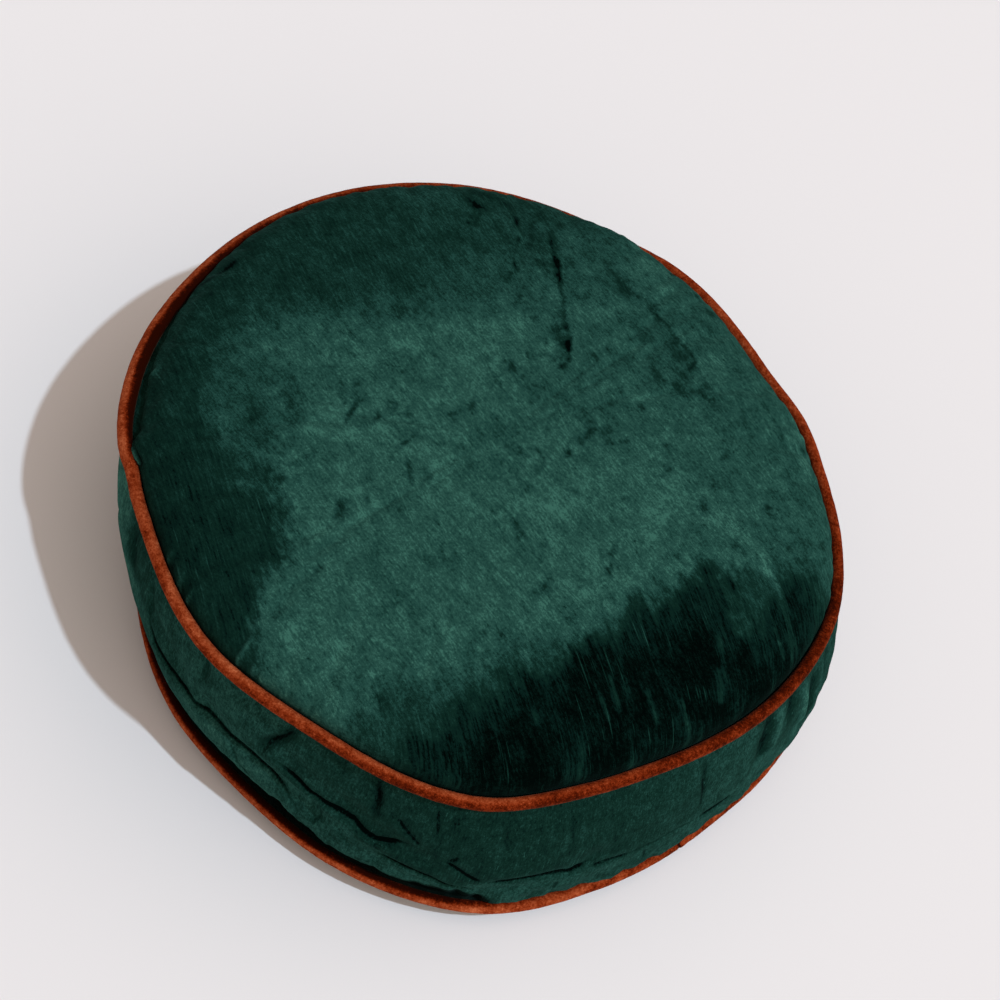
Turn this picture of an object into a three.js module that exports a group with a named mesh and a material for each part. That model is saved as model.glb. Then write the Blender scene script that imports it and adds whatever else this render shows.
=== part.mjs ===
// A round box cushion in velvet: one filled body with a crowned top panel, a bulging boxing band and a
// bottom panel that lies flat, and a covered cord sewn into the top seam and into the bottom seam.
// Units are millimetres, +Z is up, and the cushion lies on the plane z = 0.
import * as THREE from 'three';
import { mergeVertices } from 'three/addons/utils/BufferGeometryUtils.js';

// Driving dimensions
const seamRadius = 225; // mean radius of the piping's centre line
const pipingRadius = 4;
const bandHeight = 117; // from one piping's centre line to the other's
const bottomSeamHeight = 19; // centre line of the bottom piping above the floor
const bottomShift = 22.5; // the bottom seam lies this far along +X from the top seam
const seamDrawIn = 4.9; // the panels meet this far inside the piping's centre line
const clearance = 4.75; // the cloth keeps this far from the piping's centre line
const layFlatIn = 44; // the bottom panel lies flat from this far inside the seam
const seamStep = 6.2; // how far from a seam the band has left the piping
const bandRoundness = 0.55; // the lower, the fuller the band is close to its seams
const hollowHeight = 11; // how far up the band the hollow over the bottom piping reaches

// How finely the surfaces are divided
const columns = 120; // steps round the cushion
const pipingSides = 8;
const flatShares = [0, 0.4, 0.75, 1]; // of the flat part of the bottom panel, from the middle out
const rimShares = [0.3, 0.55, 0.75, 0.9, 1]; // of the bottom panel's turned-up rim
const bandRows = 15;
const bandCrowding = 0.07; // how much the band's stations crowd towards its seams
const crownRows = 12;

const topSeamHeight = bottomSeamHeight + bandHeight;

// How the two seams wander in and out of a true circle. at is the azimuth in degrees from +X.
const topSeamBends = [
  { at: 0, out: 7.2 },
  { at: 12, out: 3.8 },
  { at: 26, out: -1.4 },
  { at: 37, out: -1.8 },
  { at: 49, out: -7.0 },
  { at: 72, out: 1.2 },
  { at: 86, out: -0.8 },
  { at: 112, out: 5.0 },
  { at: 136, out: 4.4 },
  { at: 165, out: 1.0 },
  { at: 198, out: 2.2 },
  { at: 217, out: -4.8 },
  { at: 240, out: -0.2 },
  { at: 260, out: -3.0 },
  { at: 286, out: 6.8 },
  { at: 303, out: -1.6 },
  { at: 318, out: -4.6 },
  { at: 340, out: 2.0 },
];

const bottomSeamBends = [
  { at: 0, out: 2.0 },
  { at: 40, out: -2.5 },
  { at: 75, out: 3.0 },
  { at: 105, out: -0.5 },
  { at: 140, out: 3.0 },
  { at: 175, out: -1.5 },
  { at: 212, out: -1.0 },
  { at: 230, out: 1.4 },
  { at: 247, out: -0.5 },
  { at: 268, out: 5.6 },
  { at: 289, out: 7.8 },
  { at: 308, out: -2.6 },
  { at: 331, out: -8.4 },
  { at: 347, out: -3.0 },
];

// The boxing band round the cushion: how far it bulges past the seams, how high up its fullest part is as a
// share of the band, how far its lower edge is tucked in behind the bottom piping, and how deep the hollow is
// that it overhangs there.
const bandSections = [
  { at: 0, bulge: 11, fullest: 0.42, tuck: 5, hollow: 0 },
  { at: 30, bulge: 9, fullest: 0.45, tuck: 5, hollow: 0 },
  { at: 75, bulge: 8, fullest: 0.5, tuck: 5, hollow: 2 },
  { at: 120, bulge: 9, fullest: 0.45, tuck: 6, hollow: 3 },
  { at: 165, bulge: 9, fullest: 0.42, tuck: 6, hollow: 5 },
  { at: 195, bulge: 8, fullest: 0.4, tuck: 7, hollow: 8 },
  { at: 225, bulge: 8, fullest: 0.35, tuck: 10, hollow: 12 },
  { at: 250, bulge: 7, fullest: 0.36, tuck: 11, hollow: 12 },
  { at: 275, bulge: 6, fullest: 0.4, tuck: 9, hollow: 9 },
  { at: 289, bulge: 7, fullest: 0.41, tuck: 6, hollow: 1 },
  { at: 302, bulge: 8, fullest: 0.42, tuck: 5, hollow: 0 },
  { at: 335, bulge: 7, fullest: 0.4, tuck: 5, hollow: 0 },
  { at: 348, bulge: 7, fullest: 0.4, tuck: 5, hollow: 0 },
];

// How upright the crown's edge stands over the top seam: the way in from the seam 12 mm above it.
const crownEdges = [
  { at: 8, lean: 7.4 },
  { at: 30, lean: 11.0 },
  { at: 50, lean: 13.0 },
  { at: 72, lean: 14.0 },
  { at: 84, lean: 7.0 },
  { at: 95, lean: 7.6 },
  { at: 115, lean: 7.4 },
  { at: 135, lean: 5.8 },
  { at: 152, lean: 4.6 },
  { at: 180, lean: 5.4 },
  { at: 225, lean: 6.5 },
  { at: 270, lean: 6.0 },
  { at: 315, lean: 6.5 },
  { at: 345, lean: 7.0 },
];

// The crown from the top seam to the middle: in is the way in from the seam, to which lean adds that share
// of the edge's own lean, and up is the height above the seam.
const crownSections = [
  { in: seamDrawIn, lean: 0, up: 0 },
  { in: 1.8, lean: 0.5, up: 5.5 },
  { in: 0, lean: 1, up: 12 },
  { in: 5.2, lean: 1, up: 18.5 },
  { in: 13, lean: 0.9, up: 23.8 },
  { in: 25, lean: 0.7, up: 28 },
  { in: 44, lean: 0.4, up: 31.4 },
  { in: 74, lean: 0, up: 34.3 },
  { in: 116, lean: 0, up: 36.4 },
  { in: 168, lean: 0, up: 37.6 },
  { in: seamRadius, lean: 0, up: 38 },
];

// The band's main folds, as soft troughs from one place on it to another: azimuth in degrees, height as a
// share of the band, with the depth and half width in millimetres.
const bandFolds = [
  { at: 226, height: 0.62, toAt: 242, toHeight: 0.52, depth: 2.5, halfWidth: 10 },
  { at: 242, height: 0.52, toAt: 262, toHeight: 0.42, depth: 3.5, halfWidth: 10 },
  { at: 257, height: 0.68, toAt: 268, toHeight: 0.58, depth: 2.5, halfWidth: 10 },
  { at: 268, height: 0.58, toAt: 279, toHeight: 0.46, depth: 3.0, halfWidth: 10 },
  { at: 273, height: 0.27, toAt: 288, toHeight: 0.15, depth: 3.0, halfWidth: 10 },
  { at: 289, height: 0.24, toAt: 306, toHeight: 0.43, depth: 2.5, halfWidth: 10 },
  { at: 336, height: 0.85, toAt: 342, toHeight: 0.2, depth: 3.0, halfWidth: 11 },
];

const green = new THREE.MeshStandardMaterial({ color: 0x1c463d, roughness: 0.85, metalness: 0 });
const rust = new THREE.MeshStandardMaterial({ color: 0x9a4020, roughness: 0.8, metalness: 0 });

// A smooth closed curve through one column of a table, as a function of the azimuth in degrees.
function around(rows, column) {
  const count = rows.length;
  const rowAt = (k) => {
    const turns = Math.floor(k / count);
    const row = rows[k - turns * count];
    return { at: row.at + 360 * turns, value: row[column] };
  };
  return (azimuth) => {
    const a = rows[0].at + THREE.MathUtils.euclideanModulo(azimuth - rows[0].at, 360);
    let k = count - 1;
    while (rows[k].at > a) k -= 1;
    const [before, from, to, after] = [rowAt(k - 1), rowAt(k), rowAt(k + 1), rowAt(k + 2)];
    const span = to.at - from.at;
    const slopeFrom = (to.value - before.value) / (to.at - before.at);
    const slopeTo = (after.value - from.value) / (after.at - from.at);
    const s = (a - from.at) / span;
    const bent = s * s * (3 - 2 * s);
    const start = s * (1 - s) * (1 - s) * span;
    const end = s * s * (s - 1) * span;
    return from.value + (to.value - from.value) * bent + slopeFrom * start + slopeTo * end;
  };
}

const topOut = around(topSeamBends, 'out');
const bottomOut = around(bottomSeamBends, 'out');
const bulgeAt = around(bandSections, 'bulge');
const fullestAt = around(bandSections, 'fullest');
const tuckAt = around(bandSections, 'tuck');
const hollowAt = around(bandSections, 'hollow');
const leanAt = around(crownEdges, 'lean');

// A place on the cushion, from its azimuth, its distance from the middle and its height. The middle slides
// along +X on the way down from the top seam to the bottom one.
function place(azimuth, radius, height) {
  const angle = THREE.MathUtils.degToRad(azimuth);
  const drop = THREE.MathUtils.clamp((topSeamHeight - height) / bandHeight, 0, 1);
  const x = bottomShift * drop + radius * Math.cos(angle);
  return new THREE.Vector3(x, radius * Math.sin(angle), height);
}

const topRadius = (azimuth) => seamRadius + topOut(azimuth);
const bottomRadius = (azimuth) => seamRadius + bottomOut(azimuth);

// Moves a radius and height out to the clearance round a piping's centre line.
function clearOf(point, lineRadius, lineHeight) {
  const across = point.radius - lineRadius;
  const above = point.height - lineHeight;
  const distance = Math.hypot(across, above);
  if (distance >= clearance) return point;
  const grow = clearance / distance;
  return { radius: lineRadius + across * grow, height: lineHeight + above * grow };
}

// The depth of the band's folds at one place on it.
function foldDepth(azimuth, share) {
  const mmPerDegree = (Math.PI * seamRadius) / 180;
  let depth = 0;
  for (const fold of bandFolds) {
    const start = new THREE.Vector2(fold.at * mmPerDegree, fold.height * bandHeight);
    const end = new THREE.Vector2(fold.toAt * mmPerDegree, fold.toHeight * bandHeight);
    const here = new THREE.Vector2(azimuth * mmPerDegree, share * bandHeight);
    const along = end.clone().sub(start);
    const t = THREE.MathUtils.clamp(here.clone().sub(start).dot(along) / along.lengthSq(), 0, 1);
    const away = here.distanceTo(start.addScaledVector(along, t)) / fold.halfWidth;
    depth += fold.depth * Math.exp(-away * away);
  }
  return depth;
}

// One station of the bottom panel: share is 0 at the middle and 1 where it stops lying flat.
function flatStation(share) {
  return (azimuth) => ({ radius: (bottomRadius(azimuth) - layFlatIn) * share, height: 0 });
}

// One station of the bottom panel's turned-up rim: share is 0 on the floor and 1 at the seam.
function rimStation(share) {
  const turn = (share * Math.PI) / 2;
  return (azimuth) => {
    const reach = layFlatIn - tuckAt(azimuth);
    const radius = bottomRadius(azimuth) - layFlatIn + reach * Math.sin(turn);
    const height = bottomSeamHeight * (1 - Math.cos(turn));
    return clearOf({ radius, height }, bottomRadius(azimuth), bottomSeamHeight);
  };
}

// The station where the band wraps round the inner side of a piping, above it or below it.
function wrapStation(radiusAt, lineHeight, side) {
  const reach = clearance * Math.SQRT1_2;
  return (azimuth) => ({ radius: radiusAt(azimuth) - reach, height: lineHeight + side * reach });
}

// One station of the boxing band: share is 0 at the bottom seam and 1 at the top one.
function bandStation(share) {
  return (azimuth) => {
    const line = THREE.MathUtils.lerp(bottomRadius(azimuth), topRadius(azimuth), share);
    const drawIn = THREE.MathUtils.lerp(tuckAt(azimuth), seamDrawIn, share);
    const power = Math.log(0.5) / Math.log(fullestAt(azimuth));
    const fullness = Math.sin(Math.PI * Math.pow(share, power)) ** bandRoundness;
    const up = bandHeight * share;
    const hollow = hollowAt(azimuth) * Math.exp(-((up / hollowHeight) ** 2));
    const out = (drawIn + bulgeAt(azimuth)) * fullness - drawIn - foldDepth(azimuth, share) - hollow;
    const height = bottomSeamHeight + up;
    const first = clearOf({ radius: line + out, height }, bottomRadius(azimuth), bottomSeamHeight);
    return clearOf(first, topRadius(azimuth), topSeamHeight);
  };
}

// One station of the crown, at a point of the smooth curve through its sections.
function crownStation(point) {
  return (azimuth) => {
    const wayIn = point.x + point.z * leanAt(azimuth);
    const radius = topRadius(azimuth) * (1 - wayIn / seamRadius);
    return clearOf({ radius, height: topSeamHeight + point.y }, topRadius(azimuth), topSeamHeight);
  };
}

// The stations from the middle of the bottom panel, out and over the band, to the middle of the crown.
function bodyStations() {
  const stations = [...flatShares.map(flatStation), ...rimShares.map(rimStation)];
  stations.push(wrapStation(bottomRadius, bottomSeamHeight, 1));
  for (let k = 0; k < bandRows; k += 1) {
    const even = k / (bandRows - 1);
    const crowded = even - bandCrowding * Math.sin(2 * Math.PI * even);
    const height = THREE.MathUtils.lerp(seamStep, bandHeight - seamStep, crowded);
    stations.push(bandStation(height / bandHeight));
  }
  stations.push(wrapStation(topRadius, topSeamHeight, -1));
  const rows = crownSections.map((row) => new THREE.Vector3(row.in, row.up, row.lean));
  const crown = new THREE.CatmullRomCurve3(rows, false, 'catmullrom', 0.5);
  for (let k = 0; k <= crownRows; k += 1) {
    stations.push(crownStation(crown.getPoint(k / crownRows)));
  }
  return stations;
}

// Turns a profile's stations round the axis, and then sets each point by its station's own function.
function makeBody() {
  const stations = bodyStations();
  const profile = stations.map((station, k) => {
    const onAxis = k === 0 || k === stations.length - 1;
    return new THREE.Vector2(onAxis ? 0 : station(0).radius, station(0).height);
  });
  const geometry = new THREE.LatheGeometry(profile, columns);
  const position = geometry.attributes.position;
  for (let k = 0; k < position.count; k += 1) {
    const azimuth = (360 / columns) * (Math.floor(k / stations.length) % columns);
    const { radius, height } = stations[k % stations.length](azimuth);
    const point = place(azimuth, radius, height);
    position.setXYZ(k, point.x, point.y, point.z);
  }
  return closed(geometry);
}

// A covered cord that follows a seam.
function makePiping(radiusAt, height) {
  const geometry = new THREE.TorusGeometry(seamRadius, pipingRadius, pipingSides, columns);
  const position = geometry.attributes.position;
  for (let k = 0; k < position.count; k += 1) {
    const azimuth = (360 / columns) * (k % (columns + 1));
    const turn = (2 * Math.PI * (Math.floor(k / (columns + 1)) % pipingSides)) / pipingSides;
    const across = pipingRadius * Math.cos(turn);
    const above = pipingRadius * Math.sin(turn);
    const point = place(azimuth, radiusAt(azimuth) + across, height + above);
    position.setXYZ(k, point.x, point.y, point.z);
  }
  return closed(geometry);
}

// Joins the two ends of a turned mesh and drops the faces that the join leaves empty.
function closed(geometry) {
  geometry.deleteAttribute('normal');
  geometry.deleteAttribute('uv');
  const merged = mergeVertices(geometry, 1e-3);
  const index = merged.index.array;
  const kept = [];
  for (let k = 0; k < index.length; k += 3) {
    const [a, b, c] = [index[k], index[k + 1], index[k + 2]];
    if (a !== b && b !== c && c !== a) kept.push(a, b, c);
  }
  merged.setIndex(kept);
  merged.computeVertexNormals();
  return merged;
}

function named(name, geometry, material) {
  const mesh = new THREE.Mesh(geometry, material);
  mesh.name = name;
  return mesh;
}

const cushion = new THREE.Group();
cushion.add(named('cushion_body', makeBody(), green));
cushion.add(named('top_piping', makePiping(topRadius, topSeamHeight), rust));
cushion.add(named('bottom_piping', makePiping(bottomRadius, bottomSeamHeight), rust));

// The origin is under the middle of the cushion's box.
const middle = new THREE.Box3().setFromObject(cushion).getCenter(new THREE.Vector3());
cushion.position.set(-middle.x, -middle.y, 0);

export default cushion;
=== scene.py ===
"""A round velvet box cushion with covered piping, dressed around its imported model.

The tables are in millimetres about the axis of the top seam, as in the part's own source, and azimuths are
in degrees from +X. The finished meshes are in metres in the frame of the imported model.
"""
import math

import bpy
import numpy as np
from mathutils import Matrix, Vector


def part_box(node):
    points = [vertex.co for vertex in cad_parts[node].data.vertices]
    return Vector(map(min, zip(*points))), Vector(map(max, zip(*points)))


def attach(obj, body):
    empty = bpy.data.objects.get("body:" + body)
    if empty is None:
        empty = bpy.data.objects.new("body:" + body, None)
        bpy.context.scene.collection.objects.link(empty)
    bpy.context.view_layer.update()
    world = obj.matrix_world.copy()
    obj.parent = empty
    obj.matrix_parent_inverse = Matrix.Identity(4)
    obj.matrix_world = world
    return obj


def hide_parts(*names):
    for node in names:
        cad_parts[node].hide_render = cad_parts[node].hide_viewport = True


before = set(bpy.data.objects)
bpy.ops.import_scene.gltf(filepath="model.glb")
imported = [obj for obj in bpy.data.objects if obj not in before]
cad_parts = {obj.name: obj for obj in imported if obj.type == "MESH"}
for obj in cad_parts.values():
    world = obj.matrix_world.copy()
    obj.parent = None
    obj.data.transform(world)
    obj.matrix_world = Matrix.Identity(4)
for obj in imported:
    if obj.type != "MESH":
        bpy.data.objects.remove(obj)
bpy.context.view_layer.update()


def table(columns, *rows):
    """The rows as dictionaries with named columns."""
    names = columns.split()
    return [dict(zip(names, row)) for row in rows]


# Driving dimensions, in millimetres
MM = 0.001
SEAM_RADIUS = 225.0
PIPING_RADIUS = 4.0
BAND_HEIGHT = 117.0
BOTTOM_SEAM_HEIGHT = 19.0
TOP_SEAM_HEIGHT = BOTTOM_SEAM_HEIGHT + BAND_HEIGHT
BOTTOM_SHIFT = 22.5
SEAM_DRAW_IN = 4.9
CLEARANCE = 4.2
LAY_FLAT_IN = 44.0
SEAM_STEP = 6.2
SEAM_WEDGE = 2.3
INNER_FACE_IN = 30.0
INNER_FACE_STEP = 1.0
BAND_ROUNDNESS = 0.55
HOLLOW_HEIGHT = 11.0
MM_PER_DEGREE = math.pi * SEAM_RADIUS / 180.0

# How the two seams wander in and out of a true circle
TOP_SEAM_BENDS = table(
    "at out",
    (0, 7.2), (12, 3.8), (26, -1.4), (37, -1.8), (49, -7.0), (72, 1.2), (86, -0.8), (112, 5.0),
    (136, 4.4), (165, 1.0), (198, 2.2), (217, -4.8), (240, -0.2), (260, -3.0), (286, 6.8), (303, -1.6),
    (318, -4.6), (340, 2.0),
)

SEAM_KINK = {"at": 208.0, "half_width": 3.0, "depth": 1.5}

BOTTOM_SEAM_BENDS = table(
    "at out",
    (0, 2.0), (40, -2.5), (75, 3.0), (105, -0.5), (140, 3.0), (175, -1.5), (212, -1.0), (230, 1.4),
    (247, -0.5), (268, 5.6), (289, 7.8), (308, -2.6), (331, -8.4), (347, -3.0),
)

# The boxing band: its bulge past the seams, the height of its fullest part as a share, the tuck at its lower
# edge, and the hollow that it overhangs above the bottom piping
BAND_SECTIONS = table(
    "at bulge fullest tuck hollow",
    (0, 11, 0.42, 5, 0), (30, 9, 0.45, 5, 0), (75, 8, 0.5, 5, 2), (120, 9, 0.45, 6, 3),
    (165, 9, 0.42, 6, 5), (195, 8, 0.4, 7, 8), (225, 8, 0.35, 10, 12), (250, 7, 0.36, 11, 12),
    (275, 6, 0.4, 9, 9), (289, 7, 0.41, 6, 1), (302, 8, 0.42, 5, 0), (335, 7, 0.4, 5, 0),
    (348, 7, 0.4, 5, 0),
)

# How upright the crown's edge stands over the top seam
CROWN_EDGES = table(
    "at lean",
    (8, 7.4), (30, 11.0), (50, 13.0), (72, 14.0), (84, 7.0), (95, 7.6), (115, 7.4), (135, 5.8),
    (152, 4.6), (180, 5.4), (225, 6.5), (270, 6.0), (315, 6.5), (345, 7.0),
)

# The crown from the top seam to the middle: the way in, the share of the edge's lean, and the height
CROWN_SECTIONS = table(
    "in lean up",
    (SEAM_DRAW_IN, 0, 0), (1.8, 0.5, 5.5), (0, 1, 12), (5.2, 1, 18.5), (13, 0.9, 23.8), (25, 0.7, 28),
    (44, 0.4, 31.4), (74, 0, 34.3), (116, 0, 36.4), (168, 0, 37.6), (SEAM_RADIUS, 0, 38),
)

# The band's broad folds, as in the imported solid: azimuths in degrees and heights as shares of the band
BAND_FOLDS = table(
    "at height to_at to_height depth half_width",
    (226, 0.62, 242, 0.52, 2.5, 10), (242, 0.52, 262, 0.42, 3.5, 10), (257, 0.68, 268, 0.58, 2.5, 10),
    (268, 0.58, 279, 0.46, 3.0, 10), (273, 0.27, 288, 0.15, 3.0, 10), (289, 0.24, 306, 0.43, 2.5, 10),
    (336, 0.85, 342, 0.2, 3.0, 11),
)

# The band's sharp creases as (azimuth, millimetres above the bottom seam), and how dark the painted shade line
# along each one is
BAND_CREASES = table(
    "depth line path",
    (1.8, 1.0, [(223.4, 68), (224.4, 60), (227, 55), (232, 56), (236, 57), (238.5, 54.5), (240.5, 56),
        (246, 56), (251, 56.5), (254, 54.5), (256.5, 49.5), (258.8, 40)]),
    (2.4, 1.0, [(255.2, 71), (258, 68.5), (261.5, 64), (266.5, 62.5), (268.7, 60.5), (270.5, 56),
        (272.3, 53.5), (274.5, 56), (277, 60)]),
    (2.4, 1.0, [(272.5, 37.5), (276, 35), (280.3, 32), (282, 27), (284, 22.5), (287, 23)]),
    (1.3, 0.8, [(283, 57), (284.5, 53.5), (286, 47), (288.2, 41)]),
    (1.0, 0.5, [(284.7, 64), (283.2, 57)]),
    (2.2, 1.0, [(289.3, 38.5), (293, 41), (298, 42), (302, 40.5), (305, 46)]),
    (1.1, 0.7, [(305.5, 40), (308, 41), (312, 40.5)]),
    (0.5, 0.3, [(312, 41), (319, 42), (326, 41)]),
    (1.6, 0.9, [(326, 40), (329, 40.5), (333.5, 39.5)]),
    (1.2, 0.5, [(275.5, 84), (277, 76), (279.2, 64)]),
    (0.9, 0.5, [(325, 97), (325.3, 80), (325.8, 55)]),
    (0.5, 0.3, [(308.2, 95), (308.8, 78), (309.2, 58)]),
    (0.4, 0.3, [(281.5, 104), (281.5, 82)]),
    (1.0, 0.5, [(272.2, 53), (272.6, 43)]),
    (1.0, 0.35, [(257.6, 104), (255.5, 92), (253.2, 80), (252, 66)]),
    (0.8, 0.5, [(300, 31), (299.5, 22)]),
    (0.8, 0.5, [(315.3, 36), (315.6, 25)]),
    (0.8, 0.35, [(233, 53), (231.5, 40)]),
    (0.8, 0.35, [(246.5, 52), (248, 41), (250, 36)]),
    (0.9, 0.4, [(262, 59), (263.2, 46), (261.8, 36)]),
    (0.8, 0.3, [(266.5, 48), (268.5, 34)]),
    (1.2, 0.4, [(118, 40), (124, 46), (131, 43)]),
    (1.0, 0.4, [(52, 62), (58, 57), (61, 48)]),
)

# Softer troughs in the band, and ridges where the depth is negative
BAND_SOFT_FOLDS = table(
    "depth half_width path",
    (2.4, 2.8, [(223.8, 66), (223.6, 95)]),
    (3.4, 3.4, [(257.8, 108), (255.5, 92), (253, 80), (251.5, 66)]),
    (2.4, 3.2, [(240.6, 106), (240, 82)]),
    (-1.4, 3.0, [(238.2, 92), (236.2, 64)]),
    (3.4, 3.0, [(272, 110), (272.2, 90), (271.5, 76)]),
    (1.3, 3.0, [(262, 62), (261.6, 42)]),
    (1.3, 3.0, [(259.5, 52), (258.6, 34)]),
    (2.8, 4.5, [(340.3, 108), (339.8, 85), (339, 56)]),
    (-1.6, 4.0, [(342.8, 104), (341.3, 62), (338.5, 38)]),
    (3.0, 4.5, [(346, 106), (345.5, 78)]),
    (-2.2, 3.5, [(349, 98), (350.5, 55)]),
    (3.2, 4.5, [(352.5, 94), (351.5, 48)]),
    (2.8, 4.0, [(357.5, 98), (358, 55)]),
    (1.0, 3.0, [(333, 72), (334.5, 44)]),
    (2.2, 6.0, [(214, 100), (216, 68)]),
    (1.0, 3.0, [(207, 98), (203, 45)]),
    (1.5, 4.0, [(196, 102), (193, 58)]),
    (1.5, 5.0, [(160, 104), (163, 62)]),
    (1.8, 5.0, [(104, 18), (107, 66)]),
    (1.6, 5.0, [(66, 104), (63, 70)]),
    (1.5, 5.0, [(22, 20), (26, 64)]),
)


def smooth_step(low, high, value):
    """0 below low, 1 above high, and a smooth rise between them."""
    t = np.clip((value - low) / (high - low), 0.0, 1.0)
    return t * t * (3.0 - 2.0 * t)


def around(rows, column):
    """A smooth closed curve through one column of a table, as a function of the azimuth in degrees."""
    at = np.array([row["at"] for row in rows], float)
    value = np.array([row[column] for row in rows], float)
    at = np.concatenate([[at[-1] - 360.0], at, at[:2] + 360.0])
    value = np.concatenate([[value[-1]], value, value[:2]])
    slope = np.zeros(len(at))
    slope[1:-1] = (value[2:] - value[:-2]) / (at[2:] - at[:-2])

    def curve(azimuth):
        a = at[1] + np.mod(azimuth - at[1], 360.0)
        k = np.clip(np.searchsorted(at, a, side="right") - 1, 1, len(rows))
        span = at[k + 1] - at[k]
        s = (a - at[k]) / span
        bent = s * s * (3.0 - 2.0 * s)
        start = s * (1.0 - s) ** 2 * span
        end = s * s * (s - 1.0) * span
        return value[k] + (value[k + 1] - value[k]) * bent + slope[k] * start + slope[k + 1] * end

    return curve


def curves(rows):
    """One curve round the cushion for each column of a table after its first."""
    return [around(rows, column) for column in list(rows[0])[1:]]


def bell(away, power=2):
    """1 in the middle, falling smoothly to nothing at about twice the unit on both sides."""
    return np.exp(-away ** power)


top_out = around(TOP_SEAM_BENDS, "out")
bottom_out = around(BOTTOM_SEAM_BENDS, "out")
lean_at = around(CROWN_EDGES, "lean")
bulge_at, fullest_at, tuck_at, hollow_at = curves(BAND_SECTIONS)


def top_radius(azimuth):
    kink = bell((np.mod(azimuth, 360.0) - SEAM_KINK["at"]) / SEAM_KINK["half_width"])
    return SEAM_RADIUS + top_out(azimuth) - SEAM_KINK["depth"] * kink


def bottom_radius(azimuth):
    return SEAM_RADIUS + bottom_out(azimuth)


def place(azimuth, radius, height):
    """Points at azimuths, radii and heights, about a middle that slides along +X on the way down."""
    angle = np.radians(azimuth)
    drop = np.clip((TOP_SEAM_HEIGHT - height) / BAND_HEIGHT, 0.0, 1.0)
    x = BOTTOM_SHIFT * drop + radius * np.cos(angle)
    y = radius * np.sin(angle)
    return np.stack(np.broadcast_arrays(x, y, height), axis=-1)


# Seeded unevenness

LATTICE = 64


def lattice_noise(u, v, seed, wrap_u=LATTICE):
    """Smooth noise from -1 to 1 on a lattice of whole numbers, which repeats after wrap_u cells along u."""
    corners = np.random.default_rng(seed).uniform(-1.0, 1.0, (wrap_u, LATTICE))
    i = np.floor(u).astype(int)
    j = np.floor(v).astype(int)
    s = smooth_step(0.0, 1.0, u - i)
    t = smooth_step(0.0, 1.0, v - j)
    i0, i1 = i % wrap_u, (i + 1) % wrap_u
    j0, j1 = j % LATTICE, (j + 1) % LATTICE
    low = corners[i0, j0] * (1.0 - s) + corners[i1, j0] * s
    high = corners[i0, j1] * (1.0 - s) + corners[i1, j1] * s
    return low * (1.0 - t) + high * t


def fractal(layer, octaves, gain):
    """The weighted mean of layers of noise, each weaker than the one before by the gain."""
    weights = gain ** np.arange(octaves)
    return sum(weight * layer(k) for k, weight in enumerate(weights)) / weights.sum()


def flat_fractal(x, y, cell, seed, octaves, gain):
    """Fractal noise over a plane, about -1 to 1, with its largest blotches one cell apart."""
    def layer(k):
        turn = 0.3 + 0.6 * k
        fine = 2.0 ** k / cell
        u = (math.cos(turn) * x - math.sin(turn) * y) * fine + 13.7 * k
        v = (math.sin(turn) * x + math.cos(turn) * y) * fine + 5.3 * k
        return lattice_noise(u, v, seed + k)

    return fractal(layer, octaves, gain)


def band_fractal(azimuth, height, cells, cell_height, seed, octaves, gain):
    """Fractal noise that closes on itself round the band, with cells blotches in a full turn."""
    def layer(k):
        count = cells * 2 ** k
        u = np.mod(azimuth, 360.0) / 360.0 * count
        v = height / cell_height * 2.0 ** k + 7.1 * k + 20.0
        return lattice_noise(u, v, seed + k, wrap_u=count)

    return fractal(layer, octaves, gain)


def flat_noise(name, x, y):
    """One of the flat noises, swinging by its amount."""
    amount, *numbers = FLAT_NOISES[name]
    return amount * flat_fractal(x, y, *numbers)


def band_noise(name, azimuth, height, more_seed=0):
    """One of the band's or the pipings' noises, swinging by its amount."""
    amount, cells, cell_height, seed, octaves, gain = BAND_NOISES[name]
    return amount * band_fractal(azimuth, height, cells, cell_height, seed + more_seed, octaves, gain)


# Every unevenness: its amount, its cell in millimetres, its seed, its layers and how fast they weaken
FLAT_NOISES = {
    "feather": (1.0, 6.5, 910, 4, 0.78),
    "mark bend x": (2.4, 9.0, 500, 4, 0.75),
    "mark bend y": (2.4, 9.0, 510, 4, 0.75),
    "clumps": (1.0, 9.0, 530, 4, 0.75),
    "nap swells": (0.08, 46.0, 700, 3, 0.6),
    "mottle": (1.0, 15.0, 720, 5, 0.78),
    "specks": (1.0, 8.0, 790, 3, 0.7),
    "tangles": (1.0, 13.0, 930, 4, 0.78),
    "tangle patches": (1.0, 45.0, 940, 2, 0.6),
    "brush lines": (0.06, 8.0, 960, 4, 0.78),
    "crown swells": (0.9, 75.0, 40, 3, 0.45),
    "pucker bend": (0.6, 14.0, 80, 2, 0.6),
    "bottom nap": (0.06, 40.0, 880, 4, 0.6),
}

# The same round the band and the pipings, with cells in a full turn and a cell's height
BAND_NOISES = {
    "buckles": (1.2, 34, 42.0, 200, 3, 0.55),
    "far lumps": (2.6, 50, 26.0, 270, 3, 0.6),
    "low gathers": (1.7, 130, 30.0, 240, 3, 0.7),
    "high gathers": (0.9, 130, 30.0, 250, 3, 0.7),
    "hollow edge": (0.35, 75, 1.0, 260, 4, 0.7),
    "fold bend": (1.5, 60, 22.0, 330, 2, 0.55),
    "crease bend along": (0.8, 120, 12.0, 310, 2, 0.55),
    "crease bend up": (0.8, 120, 12.0, 320, 2, 0.55),
    "nap bend": (3.0, 60, 20.0, 440, 3, 0.55),
    "nap swells": (0.05, 30, 60.0, 400, 3, 0.55),
    "nap streaks": (0.05, 260, 60.0, 420, 2, 0.6),
    "piping wobble": (0.3, 30, 1.0, 9, 2, 0.55),
    "piping creases": (1.0, 190, 2.0, 0, 3, 0.65),
    "piping blotches": (1.0, 110, 1.6, 20, 4, 0.75),
}
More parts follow.
